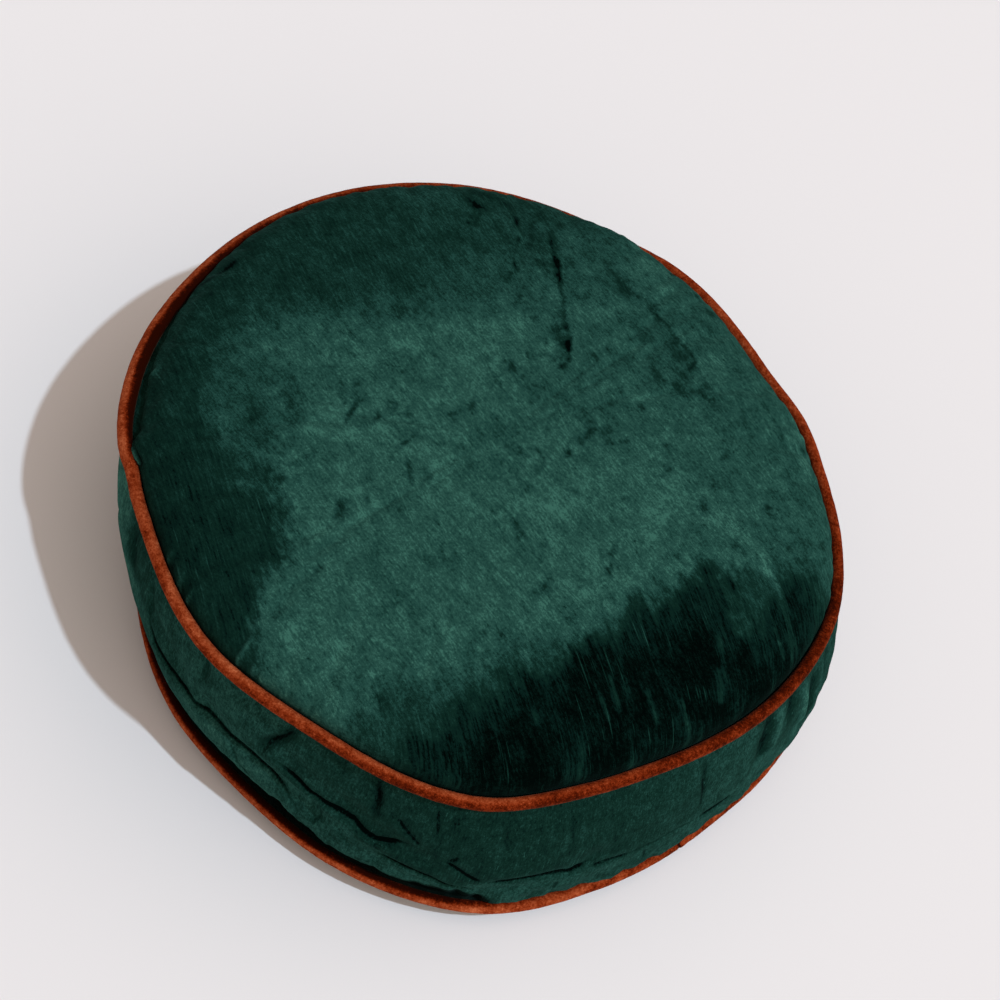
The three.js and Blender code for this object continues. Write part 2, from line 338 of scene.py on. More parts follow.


# Distances to given lines and outlines


def distance_to_path(x, y, path):
    """Distance to a line of points, the share of the way along it, and the side: + to the left of it."""
    best = np.full(np.shape(x), 1e9)
    share = np.zeros(np.shape(x))
    side = np.zeros(np.shape(x))
    steps = [math.hypot(b[0] - a[0], b[1] - a[1]) for a, b in zip(path, path[1:])]
    done = 0.0
    for (ax, ay), (bx, by), step in zip(path, path[1:], steps):
        along = ((x - ax) * (bx - ax) + (y - ay) * (by - ay)) / step ** 2
        along = np.clip(along, 0.0, 1.0)
        away = np.hypot(x - ax - along * (bx - ax), y - ay - along * (by - ay))
        nearer = away < best
        turn = (bx - ax) * (y - ay) - (by - ay) * (x - ax)
        best = np.where(nearer, away, best)
        side = np.where(nearer, np.sign(turn), side)
        share = np.where(nearer, (done + along * step) / sum(steps), share)
        done += step
    return best, share, side


def depth_inside(x, y, outline):
    """Distance to a closed outline, positive inside it."""
    closed = outline + outline[:1]
    away = distance_to_path(x, y, closed)[0]
    inside = np.zeros(np.shape(x), bool)
    for (ax, ay), (bx, by) in zip(closed, closed[1:]):
        if ay == by:
            continue
        spans = (ay > y) != (by > y)
        inside ^= spans & (x < (bx - ax) * (y - ay) / (by - ay) + ax)
    return np.where(inside, away, -away)


# The velvet's nap on the top panel from above: how light it looks, from 0 to 1, with painted sheen and painted
# shade in that level, and which way its pile lies
NAP_GROUND = 0.80
BRUSH_TURN = -52.0
MARK_STRENGTH = 1.7
SPECK_STRENGTH = 0.6
TANGLE_STRENGTH = 0.26

# Areas where the pile lies another way, their levels holding painted sheen where the pile catches the light
# and painted shade where the crown turns away from it, with how softly and raggedly each ends
NAP_AND_PAINTED_LIGHT_AREAS = table(
    "level soft ragged outline",
    (0.72, 30, 25, [(-59, 216), (245, 216), (245, -10), (147, 15), (69, 49), (10, 83), (-34, 123)]),
    (0.50, 32, 9, [(-245, 245), (10, 245), (0, 196), (-29, 142), (-49, 98), (-83, 78), (-113, 54),
        (-147, 37), (-167, 5), (-174, -20), (-245, -59)]),
    (0.42, 26, 8, [(-245, 98), (-186, 123), (-127, 147), (-83, 132), (-83, 83), (-123, 59), (-152, 39),
        (-172, 5), (-176, -29), (-172, -69), (-245, -69)]),
    (0.57, 18, 12, [(-176, 0), (-130, -10), (-118, -49), (-127, -93), (-167, -74), (-179, -44)]),
    (0.36, 13, 11, [(-245, -29), (-186, -29), (-175, -39), (-176, -59), (-167, -74), (-145, -79),
        (-127, -93), (-133, -102), (-109, -107), (-102, -127), (-100, -144), (-98, -162), (-94, -185),
        (-86, -201), (-98, -245), (-245, -245)]),
    (0.29, 13, 14, [(-181, -108), (-132, -104), (-106, -109), (-99, -130), (-96, -147), (-98, -172),
        (-108, -196), (-147, -186), (-186, -147)]),
    (0.30, 2, 3, [(-127, -115), (-108, -109), (-101, -127), (-99, -142), (-103, -158), (-112, -168),
        (-122, -150)]),
    (0.54, 16, 15, [(-15, -211), (0, -186), (29, -169), (49, -142), (74, -120), (93, -98), (105, -74),
        (127, -49), (147, -22), (167, -12), (191, 0), (206, 15), (245, 20), (245, -245), (-15, -245)]),
    (0.14, 10, 12, [(15, -226), (29, -196), (49, -176), (64, -153), (87, -128), (105, -102), (117, -74),
        (133, -60), (136, -46), (150, -30), (162, -27), (168, -50), (175, -60), (180, -42), (189, -30),
        (196, -15), (206, -4), (221, 3), (245, 7), (245, -245), (15, -245)]),
    (0.05, 12, 12, [(49, -226), (59, -181), (78, -152), (98, -125), (127, -98), (147, -69), (172, -74),
        (196, -69), (226, -29), (245, -29), (245, -245), (49, -245)]),
)

# Places where the nap has been crushed or brushed up: short strokes, darker or lighter than the rest
NAP_MARKS = table(
    "change half_width path",
    (-0.14, 4.4, [(-81, 191), (-64, 192), (-47, 189)]),
    (-0.26, 3.9, [(-81, 182), (-75, 176), (-68, 179)]),
    (-0.22, 1.5, [(-70, 177), (-70, 156)]),
    (-0.20, 1.5, [(-75, 158), (-73, 158)]),
    (-0.22, 2.4, [(-47, 181), (-43, 172)]),
    (-0.20, 1.7, [(-41, 163), (-40, 158)]),
    (-0.24, 2.2, [(-38, 141), (-33, 134), (-36, 121)]),
    (-0.30, 2.0, [(-23, 178), (-13, 157), (-6, 144), (-1, 131)]),
    (-0.16, 4.2, [(-19, 172), (-10, 147), (-4, 135)]),
    (-0.16, 1.5, [(0, 129), (6, 111), (11, 105)]),
    (-0.32, 2.0, [(10, 104), (15, 92), (19, 80), (17, 70)]),
    (-0.22, 4.6, [(7, 103), (12, 86), (15, 74)]),
    (-0.22, 2.4, [(-13, 59), (-11, 52)]),
    (-0.15, 1.5, [(-15, 45), (-19, 43)]),
    (-0.20, 2.2, [(-23, 19), (-26, 9), (-37, 0)]),
    (-0.16, 1.5, [(-36, 74), (-34, 73)]),
    (-0.18, 2.0, [(-196, 62), (-207, 43), (-216, 32)]),
    (-0.12, 2.4, [(-201, 29), (-200, 24)]),
    (-0.16, 5.4, [(20, 171), (29, 164), (37, 154), (45, 153)]),
    (-0.14, 2.0, [(-2, 159), (0, 157)]),
    (-0.22, 4.4, [(55, 153), (61, 145)]),
    (-0.26, 1.6, [(59, 148), (75, 136), (88, 127), (95, 121), (94, 111)]),
    (-0.13, 5.9, [(69, 136), (81, 125), (91, 115)]),
    (-0.20, 2.9, [(69, 99), (78, 95)]),
    (-0.20, 2.9, [(88, 93), (97, 89)]),
    (-0.12, 2.4, [(107, 95), (115, 95)]),
    (-0.07, 6.9, [(72, 108), (98, 98), (118, 89)]),
    (-0.16, 1.3, [(41, 126), (42, 124)]),
    (-0.15, 1.5, [(37, 100), (43, 99)]),
    (-0.20, 2.0, [(73, 66), (74, 64)]),
    (-0.12, 1.5, [(64, 73), (65, 72)]),
    (-0.17, 2.0, [(50, 35), (48, 25), (41, 18), (41, 7)]),
    (-0.20, 2.0, [(41, 10), (42, 7)]),
    (-0.14, 2.4, [(62, 29), (63, 26)]),
    (-0.15, 2.4, [(129, 19), (132, 8)]),
    (-0.12, 3.4, [(131, 32), (133, 29)]),
    (-0.20, 3.4, [(168, 34), (170, 29)]),
    (-0.20, 2.2, [(175, 68), (182, 60)]),
    (-0.12, 1.7, [(146, 113), (156, 104)]),
    (-0.15, 2.9, [(181, 100), (182, 95)]),
    (-0.06, 7.8, [(49, 69), (60, 47)]),
    (-0.14, 2.9, [(156, -4), (159, -11)]),
    (-0.22, 1.6, [(-90, -9), (-90, -20), (-91, -36)]),
    (-0.15, 1.3, [(-90, -15), (-83, -14)]),
    (-0.20, 2.0, [(-75, -20), (-74, -28)]),
    (-0.20, 1.7, [(-50, -26), (-55, -36)]),
    (-0.17, 1.6, [(-48, -43), (-44, -50), (-38, -63)]),
    (-0.26, 2.9, [(-73, -90), (-72, -96)]),
    (-0.16, 1.5, [(-73, -96), (-65, -106)]),
    (-0.16, 2.2, [(-131, -18), (-124, -27)]),
    (-0.12, 2.9, [(-126, -33), (-125, -38)]),
    (-0.11, 3.4, [(-62, -121), (-57, -129)]),
    (-0.08, 2.9, [(-70, -131), (-69, -146)]),
    (-0.13, 1.5, [(3, -141), (9, -148)]),
    (-0.08, 1.7, [(-3, -172), (-2, -182)]),
    (-0.20, 2.0, [(27, -21), (25, -35)]),
    (-0.10, 2.0, [(29, 0), (27, -20)]),
    (-0.19, 1.7, [(18, -50), (29, -59), (40, -68)]),
    (-0.08, 2.0, [(2, -37), (10, -43)]),
    (-0.17, 1.8, [(89, -38), (87, -49), (90, -58), (88, -63)]),
    (-0.18, 2.0, [(87, -60), (90, -64)]),
    (-0.18, 3.9, [(51, -99), (55, -93), (62, -82)]),
    (-0.15, 2.4, [(82, -86), (85, -90)]),
    (-0.22, 2.4, [(91, -109), (92, -113)]),
    (-0.11, 2.4, [(29, -103), (33, -106)]),
    (-0.05, 10.8, [(-29, 48), (10, 44), (49, 37), (74, 29)]),
    (0.20, 1.2, [(111, -129), (123, -146)]),
    (0.18, 1.2, [(104, -137), (119, -154)]),
    (0.15, 1.2, [(122, -127), (131, -140)]),
    (0.24, 1.2, [(195, -48), (207, -59)]),
    (0.18, 1.2, [(134, -127), (146, -140)]),
    (0.22, 2.4, [(172, -93), (178, -106)]),
    (0.20, 2.4, [(147, -119), (158, -124), (168, -133)]),
    (0.26, 3.4, [(154, -34), (162, -43), (169, -54)]),
    (0.20, 4.4, [(171, -2), (184, -15), (192, -24)]),
    (0.16, 1.5, [(193, -24), (196, -46), (203, -56)]),
    (0.12, 2.0, [(164, -69), (172, -88), (182, -98)]),
    (0.12, 1.2, [(76, -169), (84, -180)]),
    (0.08, 1.5, [(98, -98), (115, -118), (130, -147)]),
)


def top_nap_and_painted_light(x, y):
    """How light the top panel looks at places in millimetres from its middle: its nap, with painted sheen and
    painted shade.
    """
    brush = math.radians(BRUSH_TURN)
    along = math.cos(brush) * x + math.sin(brush) * y
    across = -math.sin(brush) * x + math.cos(brush) * y
    feather = flat_noise("feather", along / 4.0, across)
    level = np.full(x.shape, NAP_GROUND)
    for k, area in enumerate(NAP_AND_PAINTED_LIGHT_AREAS):
        wander = flat_fractal(x, y, 2.2 * area["ragged"] + 6.0, 100 + 7 * k, 6, 0.78)
        depth = depth_inside(x, y, area["outline"]) + area["ragged"] * (1.4 * wander + feather)
        share = smooth_step(-area["soft"], area["soft"], depth)
        level = level + (area["level"] - level) * share
    bent = (x + flat_noise("mark bend x", x, y), y + flat_noise("mark bend y", x, y))
    marked = 0.0
    for mark in NAP_MARKS:
        spot_x, spot_y = (x, y) if mark["change"] > 0 else bent
        away, share, _ = distance_to_path(spot_x, spot_y, mark["path"])
        fade = 1.0 - 0.45 * (2.0 * share - 1.0) ** 2
        marked = marked + mark["change"] * fade * bell(away / mark["half_width"])
    clumps = 0.35 + 1.2 * smooth_step(-0.3, 0.35, flat_noise("clumps", x, y))
    level = level + MARK_STRENGTH * marked * clumps
    lit = smooth_step(0.15, 0.75, level)
    level = level + flat_noise("nap swells", x, y) + (0.03 + 0.13 * lit) * flat_noise("mottle", x, y)
    specks = np.maximum(0.0, flat_noise("specks", x, y) - 0.3)
    tangles = smooth_step(0.0, 0.5, flat_noise("tangles", along / 3.5, across))
    tangles = tangles * smooth_step(-0.15, 0.3, flat_noise("tangle patches", x, y))
    level = level + flat_noise("brush lines", along / 4.0, across)
    dark = 1.0 - smooth_step(0.12, 0.40, level)
    return level - SPECK_STRENGTH * lit * specks + TANGLE_STRENGTH * dark * tangles


# Mesh making


def stitch(count_a, start_a, count_b, start_b):
    """Outward faces between a closed ring and the next one up, quads where both have as many points."""
    if count_a == 1:
        return [(start_a, start_b + (k + 1) % count_b, start_b + k) for k in range(count_b)]
    if count_b == 1:
        return [(start_a + k, start_a + (k + 1) % count_a, start_b) for k in range(count_a)]
    if count_a == count_b:
        after = [(k + 1) % count_a for k in range(count_a)]
        return [(start_a + k, start_a + after[k], start_b + after[k], start_b + k) for k in range(count_a)]
    faces = []
    i = j = 0
    while i < count_a or j < count_b:
        if j == count_b or (i < count_a and (i + 1) * count_b <= (j + 1) * count_a):
            faces.append((start_a + i, start_a + (i + 1) % count_a, start_b + j % count_b))
            i += 1
        else:
            faces.append((start_a + i % count_a, start_b + (j + 1) % count_b, start_b + j))
            j += 1
    return faces


def ring_azimuths(count):
    return np.arange(count) * 360.0 / count


def flat_rings(radius_at, height, steps):
    """Rings at one height, each with its number of points and its share of the radius."""
    rings = []
    for count, share in steps:
        azimuth = ring_azimuths(count)
        rings.append(place(azimuth, radius_at(azimuth) * share, height))
    return rings


def mesh_piece(name, rings, closes_on_itself=False, **values):
    """A mesh object through closed rings in millimetres, with one number per point for each value."""
    counts = [len(ring) for ring in rings]
    starts = np.concatenate([[0], np.cumsum(counts)])
    faces = []
    for k in range(len(rings) - 1):
        faces += stitch(counts[k], starts[k], counts[k + 1], starts[k + 1])
    if closes_on_itself:
        faces += stitch(counts[-1], starts[len(rings) - 1], counts[0], starts[0])
    points = (np.concatenate(rings) + ORIGIN_SHIFT) * MM
    mesh = bpy.data.meshes.new(name)
    mesh.from_pydata(points.tolist(), [], [tuple(int(v) for v in face) for face in faces])
    mesh.polygons.foreach_set("use_smooth", np.ones(len(mesh.polygons), bool))
    for key, numbers in values.items():
        layer = mesh.attributes.new(key, "FLOAT", "POINT")
        layer.data.foreach_set("value", np.asarray(numbers, np.float32))
    mesh.update()
    piece = bpy.data.objects.new(name, mesh)
    bpy.context.scene.collection.objects.link(piece)
    return piece


def seam_axis_shift():
    """The move from the top seam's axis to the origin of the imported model, from the top piping's box."""
    low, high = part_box("top_piping")
    azimuth = ring_azimuths(720)
    ring = place(azimuth, top_radius(azimuth) + PIPING_RADIUS, TOP_SEAM_HEIGHT)
    own = (ring.min(0) + ring.max(0)) / 2.0
    return (np.array(low) + np.array(high)) / 2.0 / MM - own


ORIGIN_SHIFT = seam_axis_shift()


def clear_of(radius, height, line_radius, line_height):
    """Moves radii and heights out to the clearance round a piping's centre line."""
    across = radius - line_radius
    above = height - line_height
    away = np.maximum(np.hypot(across, above), 1e-6)
    grow = np.maximum(1.0, CLEARANCE / away)
    return line_radius + across * grow, line_height + above * grow


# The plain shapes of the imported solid

CROWN_SPACING = 1.55
CURVE_CUTS = 64


def cubic_weights(t):
    """The weights of four neighbours on a smooth curve, a share t of the way from the second to the third."""
    return (
        ((-0.5 * t + 1.0) * t - 0.5) * t,
        (1.5 * t - 2.5) * t * t + 1.0,
        ((-1.5 * t + 2.0) * t + 0.5) * t,
        (0.5 * t - 0.5) * t * t,
    )


def crown_profile():
    """The crown's sections as a smooth curve, cut into steps of even length: way in, height and lean."""
    rows = np.array([[row["in"], row["up"], row["lean"]] for row in CROWN_SECTIONS], float)
    rows = np.concatenate([[2 * rows[0] - rows[1]], rows, [2 * rows[-1] - rows[-2]]])
    curve = []
    for k in range(1, len(rows) - 2):
        for t in np.arange(CURVE_CUTS) / CURVE_CUTS:
            curve.append(sum(weight * row for weight, row in zip(cubic_weights(t), rows[k - 1:k + 3])))
    curve = np.array(curve + [rows[-2]])
    length = np.concatenate([[0.0], np.cumsum(np.hypot(*np.diff(curve[:, :2], axis=0).T))])
    even = np.linspace(0.0, length[-1], int(round(length[-1] / CROWN_SPACING)) + 1)
    return np.stack([np.interp(even, length, curve[:, k]) for k in range(3)], axis=-1), even


CROWN, CROWN_RUNS = crown_profile()


def crown_place(azimuth, run):
    """Radius and height of the plain crown at a distance along it from the top seam."""
    way_in, up, lean = (np.interp(run, CROWN_RUNS, CROWN[:, k]) for k in range(3))
    radius = top_radius(azimuth) * (1.0 - (way_in + lean * lean_at(azimuth)) / SEAM_RADIUS)
    return radius, TOP_SEAM_HEIGHT + up


def plain_band(azimuth, share):
    """Radius of the plain band, a share of the way up it."""
    line = bottom_radius(azimuth) * (1.0 - share) + top_radius(azimuth) * share
    draw_in = tuck_at(azimuth) * (1.0 - share) + SEAM_DRAW_IN * share
    power = math.log(0.5) / np.log(fullest_at(azimuth))
    fullness = np.sin(math.pi * share ** power) ** BAND_ROUNDNESS
    return line + (draw_in + bulge_at(azimuth)) * fullness - draw_in


def hollow(azimuth, share):
    """The depth of the hollow that the band overhangs above the bottom piping."""
    return hollow_at(azimuth) * bell(share * BAND_HEIGHT / HOLLOW_HEIGHT)


def bottom_rim(azimuth, share):
    """Radius and height on the bottom panel's turned-up rim, a share of the way from floor to seam."""
    turn = share * math.pi / 2.0
    radius = bottom_radius(azimuth) - LAY_FLAT_IN + (LAY_FLAT_IN - tuck_at(azimuth)) * math.sin(turn)
    return radius, BOTTOM_SEAM_HEIGHT * (1.0 - math.cos(turn))


# The slack of the cover: a coarse copy of it is blown up as cloth between its held seams

SIM_COLUMNS = 240
SIM_BAND_ROWS = 26
SIM_CROWN_ROWS = 26
SIM_RIM_ROWS = 4
SIM_FRAMES = 20
SIM_PRESSURE = 30.0
SIM_GROWTH = 0.015
SLACK_CAP = 3.0
BROAD_WAVES = 9.0


def sim_rings():
    """The rings of the coarse cover in millimetres, and whether each is held."""
    azimuth = ring_azimuths(SIM_COLUMNS)
    floor_steps = ((1, 0.0), (SIM_COLUMNS, 0.5), (SIM_COLUMNS, 1.0))
    rings = flat_rings(lambda a: bottom_radius(a) - LAY_FLAT_IN, 0.0, floor_steps)
    for k in range(1, SIM_RIM_ROWS + 1):
        rings.append(place(azimuth, *bottom_rim(azimuth, k / SIM_RIM_ROWS)))
    held = [True] * len(rings)
    for k in range(1, SIM_BAND_ROWS):
        share = k / SIM_BAND_ROWS
        radius = plain_band(azimuth, share) - hollow(azimuth, share)
        rings.append(place(azimuth, radius, BOTTOM_SEAM_HEIGHT + BAND_HEIGHT * share))
        held.append(False)
    for k in range(SIM_CROWN_ROWS):
        rings.append(place(azimuth, *crown_place(azimuth, CROWN_RUNS[-1] * k / SIM_CROWN_ROWS)))
        held.append(k == 0)
    rings.append(place(np.zeros(1), *crown_place(np.zeros(1), CROWN_RUNS[-1])))
    held.append(True)
    return rings, held


def run_cloth(piece, held_points):
    """Blows the piece up as cloth that is held at some of its points, and returns where its points end."""
    group = piece.vertex_groups.new(name="held")
    group.add(held_points, 1.0, "REPLACE")
    modifier = piece.modifiers.new("cloth", "CLOTH")
    cloth = modifier.settings
    cloth.quality = 3
    cloth.vertex_group_mass = "held"
    cloth.use_pressure = True
    cloth.uniform_pressure_force = SIM_PRESSURE
    cloth.shrink_min = -SIM_GROWTH
    cloth.effector_weights.gravity = 0.0
    modifier.collision_settings.use_collision = False
    modifier.point_cache.frame_end = SIM_FRAMES
    for frame_number in range(1, SIM_FRAMES + 1):
        bpy.context.scene.frame_set(frame_number)
    shaped = piece.evaluated_get(bpy.context.evaluated_depsgraph_get())
    points = np.empty(3 * len(piece.data.vertices))
    shaped.to_mesh().vertices.foreach_get("co", points)
    shaped.to_mesh_clear()
    bpy.context.scene.frame_set(1)
    return points.reshape(-1, 3)


def simulate_slack():
    """Outward moves in millimetres of the band's and the crown's rows, without the broad swelling."""
    rings, held = sim_rings()
    piece = mesh_piece("slack_cover", rings)
    starts = np.cumsum([0] + [len(ring) for ring in rings])
    held_points = [int(v) for k in range(len(rings)) if held[k] for v in range(starts[k], starts[k + 1])]
    before = np.empty(3 * len(piece.data.vertices))
    outward = np.empty(len(before))
    piece.data.vertices.foreach_get("co", before)
    piece.data.vertices.foreach_get("normal", outward)
    moves = run_cloth(piece, held_points) - before.reshape(-1, 3)
    moves = (moves * outward.reshape(-1, 3)).sum(-1)[1:-1].reshape(-1, SIM_COLUMNS) / MM
    mesh = piece.data
    bpy.data.objects.remove(piece)
    bpy.data.meshes.remove(mesh)
    waves = np.fft.rfft(moves, axis=1)
    waves *= 1.0 - np.exp(-(np.arange(waves.shape[1]) / BROAD_WAVES) ** 2)
    moves = np.clip(np.fft.irfft(waves, n=SIM_COLUMNS, axis=1), -SLACK_CAP, SLACK_CAP)
    low_seam = held.index(False) - 2  # its ring's place once the middle point is left out
    top_seam = low_seam + SIM_BAND_ROWS
    return moves[low_seam:top_seam + 1], moves[top_seam:]


BAND_MOVES, CROWN_MOVES = simulate_slack()


def sample_rows(field, azimuth, row):
    """A smooth value between a field's rows and columns, where columns go round the cushion."""
    column = np.mod(azimuth, 360.0) / 360.0 * SIM_COLUMNS
    row = np.clip(row, 0.0, len(field) - 1.0)
    i = np.floor(row).astype(int)
    j = np.floor(column).astype(int)
    total = 0.0
    for down, row_weight in enumerate(cubic_weights(row - i)):
        for along, column_weight in enumerate(cubic_weights(column - j)):
            near_row = np.clip(i + down - 1, 0, len(field) - 1)
            total = total + row_weight * column_weight * field[near_row, (j + along - 1) % SIM_COLUMNS]
    return total


def on_band(path):
    """A path round the cushion in millimetres, from azimuths and heights."""
    return [(at * MM_PER_DEGREE, up) for at, up in path]


def strokes(azimuth, up, rows, before, rise, fall):
    """The sum of short upright strokes, each soft at its foot, at its top and to both sides."""
    total = 0.0
    for row in rows:
        reach = smooth_step(row["from"] - before, row["from"] + rise, up)
        reach = reach * (1.0 - smooth_step(row["to"] - fall, row["to"], up))
        away = (azimuth - row["at"]) * MM_PER_DEGREE / row["half_width"]
        total = total + row["amount"] * reach * bell(away)
    return total


# The top panel

CROWN_SLACK = 0.45

# Points in an eighth of the widest ring, and the flat underside's rings: points and share of the radius
CROWN_EIGHTH = 144
UNDERSIDE_STEPS = ((1, 0.0), (16, 0.1), (80, 0.4), (400, 0.8))

# How much further in the crown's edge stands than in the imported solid, beside the top piping
EDGE_GAPS = table(
    "at gap",
    (0, 0), (30, 0), (50, -0.8), (66, -2.0), (84, -2.0), (96, -0.6), (108, 0.8), (124, 1.6), (150, 2.6),
    (168, 3.8), (182, 5.6), (196, 6.2), (200.5, 4.6), (203, 0.4), (208, 0), (345, 0),
)
edge_gap_at = around(EDGE_GAPS, "gap")

# A pinched tuck beside the top piping, and the puckers along the seam: from where to where up the crown. The
# puckers' ridges and the tuck's middle get a painted highlight, and the tuck's rim painted shade
LENS = {
    "path": [(201.8, 2.0), (204.6, 6.0), (207.2, 8.0)],
    "height": 1.8, "half_width": 2.8, "rim_width": 0.8,
}
SEAM_PUCKERS = table(
    "at from to amount half_width",
    (225.0, 3, 18, 0.9, 2.4), (229.5, 3, 20, 1.0, 2.4), (233.0, 3, 22, 0.9, 2.2),
    (242.6, 6, 21, 0.6, 1.5), (245.4, 4, 30, 1.2, 1.9), (248.3, 5, 23, 0.9, 1.6),
    (250.0, 4, 17, 0.5, 1.6), (190.0, 6, 24, 0.8, 2.4), (311.0, 5, 22, 0.8, 2.6), (32.0, 5, 26, 1.0, 3.0),
    (84.0, 5, 30, 1.2, 3.0),
)


def lens_tuck(azimuth, run):
    """The pinched tuck of cloth beside the top piping: how near a place is to its rim and its middle."""
    away, share, _ = distance_to_path(azimuth * MM_PER_DEGREE, run, on_band(LENS["path"]))
    width = LENS["half_width"] * (0.3 + 0.7 * np.sqrt(np.clip(4.0 * share * (1.0 - share), 0.0, 1.0)))
    rim = bell((away - width) / LENS["rim_width"])
    middle = 1.0 - smooth_step(0.35, 0.95, away / width)
    return rim, middle


def crown_detail(azimuth, run, x, y):
    """How far the top panel stands out from its plain crown: broad unevenness, the slack and seam puckers."""
    broad = flat_noise("crown swells", x, y) * smooth_step(0.0, 20.0, run)
    slack = CROWN_SLACK * sample_rows(CROWN_MOVES, azimuth, run / CROWN_RUNS[-1] * SIM_CROWN_ROWS)
    bent = azimuth + flat_noise("pucker bend", x, y)
    puckers = strokes(bent, run, SEAM_PUCKERS, before=5.0, rise=3.0, fall=10.0)
    return broad + slack + puckers, puckers


def make_top_panel():
    rings = flat_rings(lambda a: top_radius(a) - SEAM_DRAW_IN, TOP_SEAM_HEIGHT, UNDERSIDE_STEPS)
    naps = [np.full(len(ring), NAP_GROUND) for ring in rings]
    slope_in = np.gradient(CROWN[:, 0], CROWN_RUNS)
    slope_up = np.gradient(CROWN[:, 1], CROWN_RUNS)
    for (way_in, _, _), run, steep, level in zip(CROWN, CROWN_RUNS, slope_up, slope_in):
        eighth = CROWN_EIGHTH * (1.0 - way_in / SEAM_RADIUS)
        azimuth = ring_azimuths(1 if eighth < 0.5 else max(8, 8 * int(round(eighth))))
        radius, height = crown_place(azimuth, run)
        near_edge = smooth_step(0.0, 5.0, run) * (1.0 - smooth_step(16.0, 44.0, run))
        radius = radius - edge_gap_at(azimuth) * near_edge
        x = radius * np.cos(np.radians(azimuth))
        y = radius * np.sin(np.radians(azimuth))
        detail, puckers = crown_detail(azimuth, run, x, y)
        rim, middle = lens_tuck(azimuth, run)
        detail = detail * smooth_step(0.0, 6.0, run) + LENS["height"] * (middle - 0.6 * rim)
        radius = radius + detail * steep
        height = height + detail * level
        rings.append(place(azimuth, *clear_of(radius, height, top_radius(azimuth), TOP_SEAM_HEIGHT)))
        # Painted highlight on the puckers and the tuck's middle, painted shade round the tuck's rim
        naps.append(top_nap_and_painted_light(x, y) + 0.7 * middle - 0.5 * rim + 0.3 * puckers)
    return mesh_piece("top_panel", rings, nap=np.concatenate(naps))


# The boxing band

BAND_COLUMNS = 910
BAND_ROWS = 103

# How close together the columns are
BAND_FINENESS = table(
    "at weight",
    (0, 0.9), (12, 0.42), (180, 0.42), (196, 0.8), (220, 1.1), (250, 1.15), (290, 1.15), (312, 1.0),
    (345, 0.95),
)

# How light the band looks above and below a line, which is so many millimetres above the bottom seam: its nap
# with painted shade high up under the top piping at most places, painted light on the cloth lower down, and a
# painted sheen from about 186 to 209 degrees
BAND_NAP_AND_PAINTED_LIGHT = table(
    "at high low line",
    (0, 0.54, 0.58, 50), (60, 0.50, 0.54, 55), (120, 0.48, 0.54, 50), (186, 0.80, 0.76, 50),
    (203, 0.95, 0.88, 50), (209, 0.86, 0.88, 55), (215, 0.46, 0.82, 64), (224, 0.54, 0.62, 60),
    (236, 0.58, 0.68, 59), (252, 0.56, 0.70, 61), (262, 0.44, 0.54, 60), (274, 0.40, 0.58, 41),
    (284, 0.34, 0.60, 31), (291, 0.34, 0.58, 43), (304, 0.36, 0.56, 45), (318, 0.44, 0.54, 43),
    (332, 0.50, 0.58, 43), (345, 0.52, 0.60, 50),
)
high_nap_and_light_at, low_nap_and_light_at, nap_and_light_line_at = curves(BAND_NAP_AND_PAINTED_LIGHT)
# Painted shade in the creases, in the soft folds' troughs with painted light on their ridges, and in the gap
# above the bottom piping
CREASE_PAINTED_SHADE = 0.16
FOLD_PAINTED_SHADE = 0.085
GAP_PAINTED_SHADE = 1.3

# Thin upright strokes in the band's nap, darker or lighter than the rest
BAND_STROKES = table(
    "at from to half_width amount",
    (272.3, 70, 108, 2.6, -0.14), (281.3, 75, 110, 1.2, -0.12), (283.6, 80, 105, 3.5, -0.10),
    (290.4, 62, 104, 1.2, 0.12), (291.6, 70, 100, 1.2, -0.10), (293.2, 30, 96, 1.1, 0.10),
    (296.6, 70, 104, 1.2, -0.10), (298.2, 66, 104, 1.2, 0.10), (300.6, 60, 100, 1.2, 0.14),
    (301.7, 64, 104, 1.4, -0.12), (303.4, 56, 98, 1.2, 0.15), (305.3, 60, 90, 1.2, 0.12),
    (308.6, 56, 94, 1.3, 0.12), (310.0, 60, 92, 1.6, -0.10), (325.4, 55, 108, 1.4, -0.16),
    (340.0, 52, 108, 5.0, -0.20), (342.6, 40, 108, 4.0, 0.14), (346.0, 60, 108, 5.0, -0.14),
    (349.4, 30, 100, 3.5, 0.16), (352.6, 40, 96, 4.0, -0.14),
)


def band_azimuths():
    """Columns round the band, closer together where it has its creases."""
    dense = np.linspace(0.0, 360.0, 3601)
    weight = around(BAND_FINENESS, "weight")(dense)
    reach = np.concatenate([[0.0], np.cumsum((weight[1:] + weight[:-1]) / 2.0)])
    even = np.arange(BAND_COLUMNS) / BAND_COLUMNS * reach[-1]
    return np.interp(even, reach, dense)


def broad_folds(azimuth, share):
    """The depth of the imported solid's own folds at places on the band."""
    depth = 0.0
    for fold in BAND_FOLDS:
        ends = [(fold["at"], fold["height"]), (fold["to_at"], fold["to_height"])]
        path = on_band([(at, up * BAND_HEIGHT) for at, up in ends])
        away = distance_to_path(azimuth * MM_PER_DEGREE, share * BAND_HEIGHT, path)[0]
        depth = depth + fold["depth"] * bell(away / fold["half_width"])
    return depth


def soft_folds(azimuth, up):
    """The depth of the softer folds, which fade towards their ends."""
    depth = 0.0
    x = azimuth * MM_PER_DEGREE + band_noise("fold bend", azimuth, up)
    for fold in BAND_SOFT_FOLDS:
        away, share, _ = distance_to_path(x, up, on_band(fold["path"]))
        fade = 0.35 + 0.65 * np.sin(math.pi * np.clip(share, 0.0, 1.0)) ** 0.7
        depth = depth + fold["depth"] * fade * bell(away / fold["half_width"])
    return depth
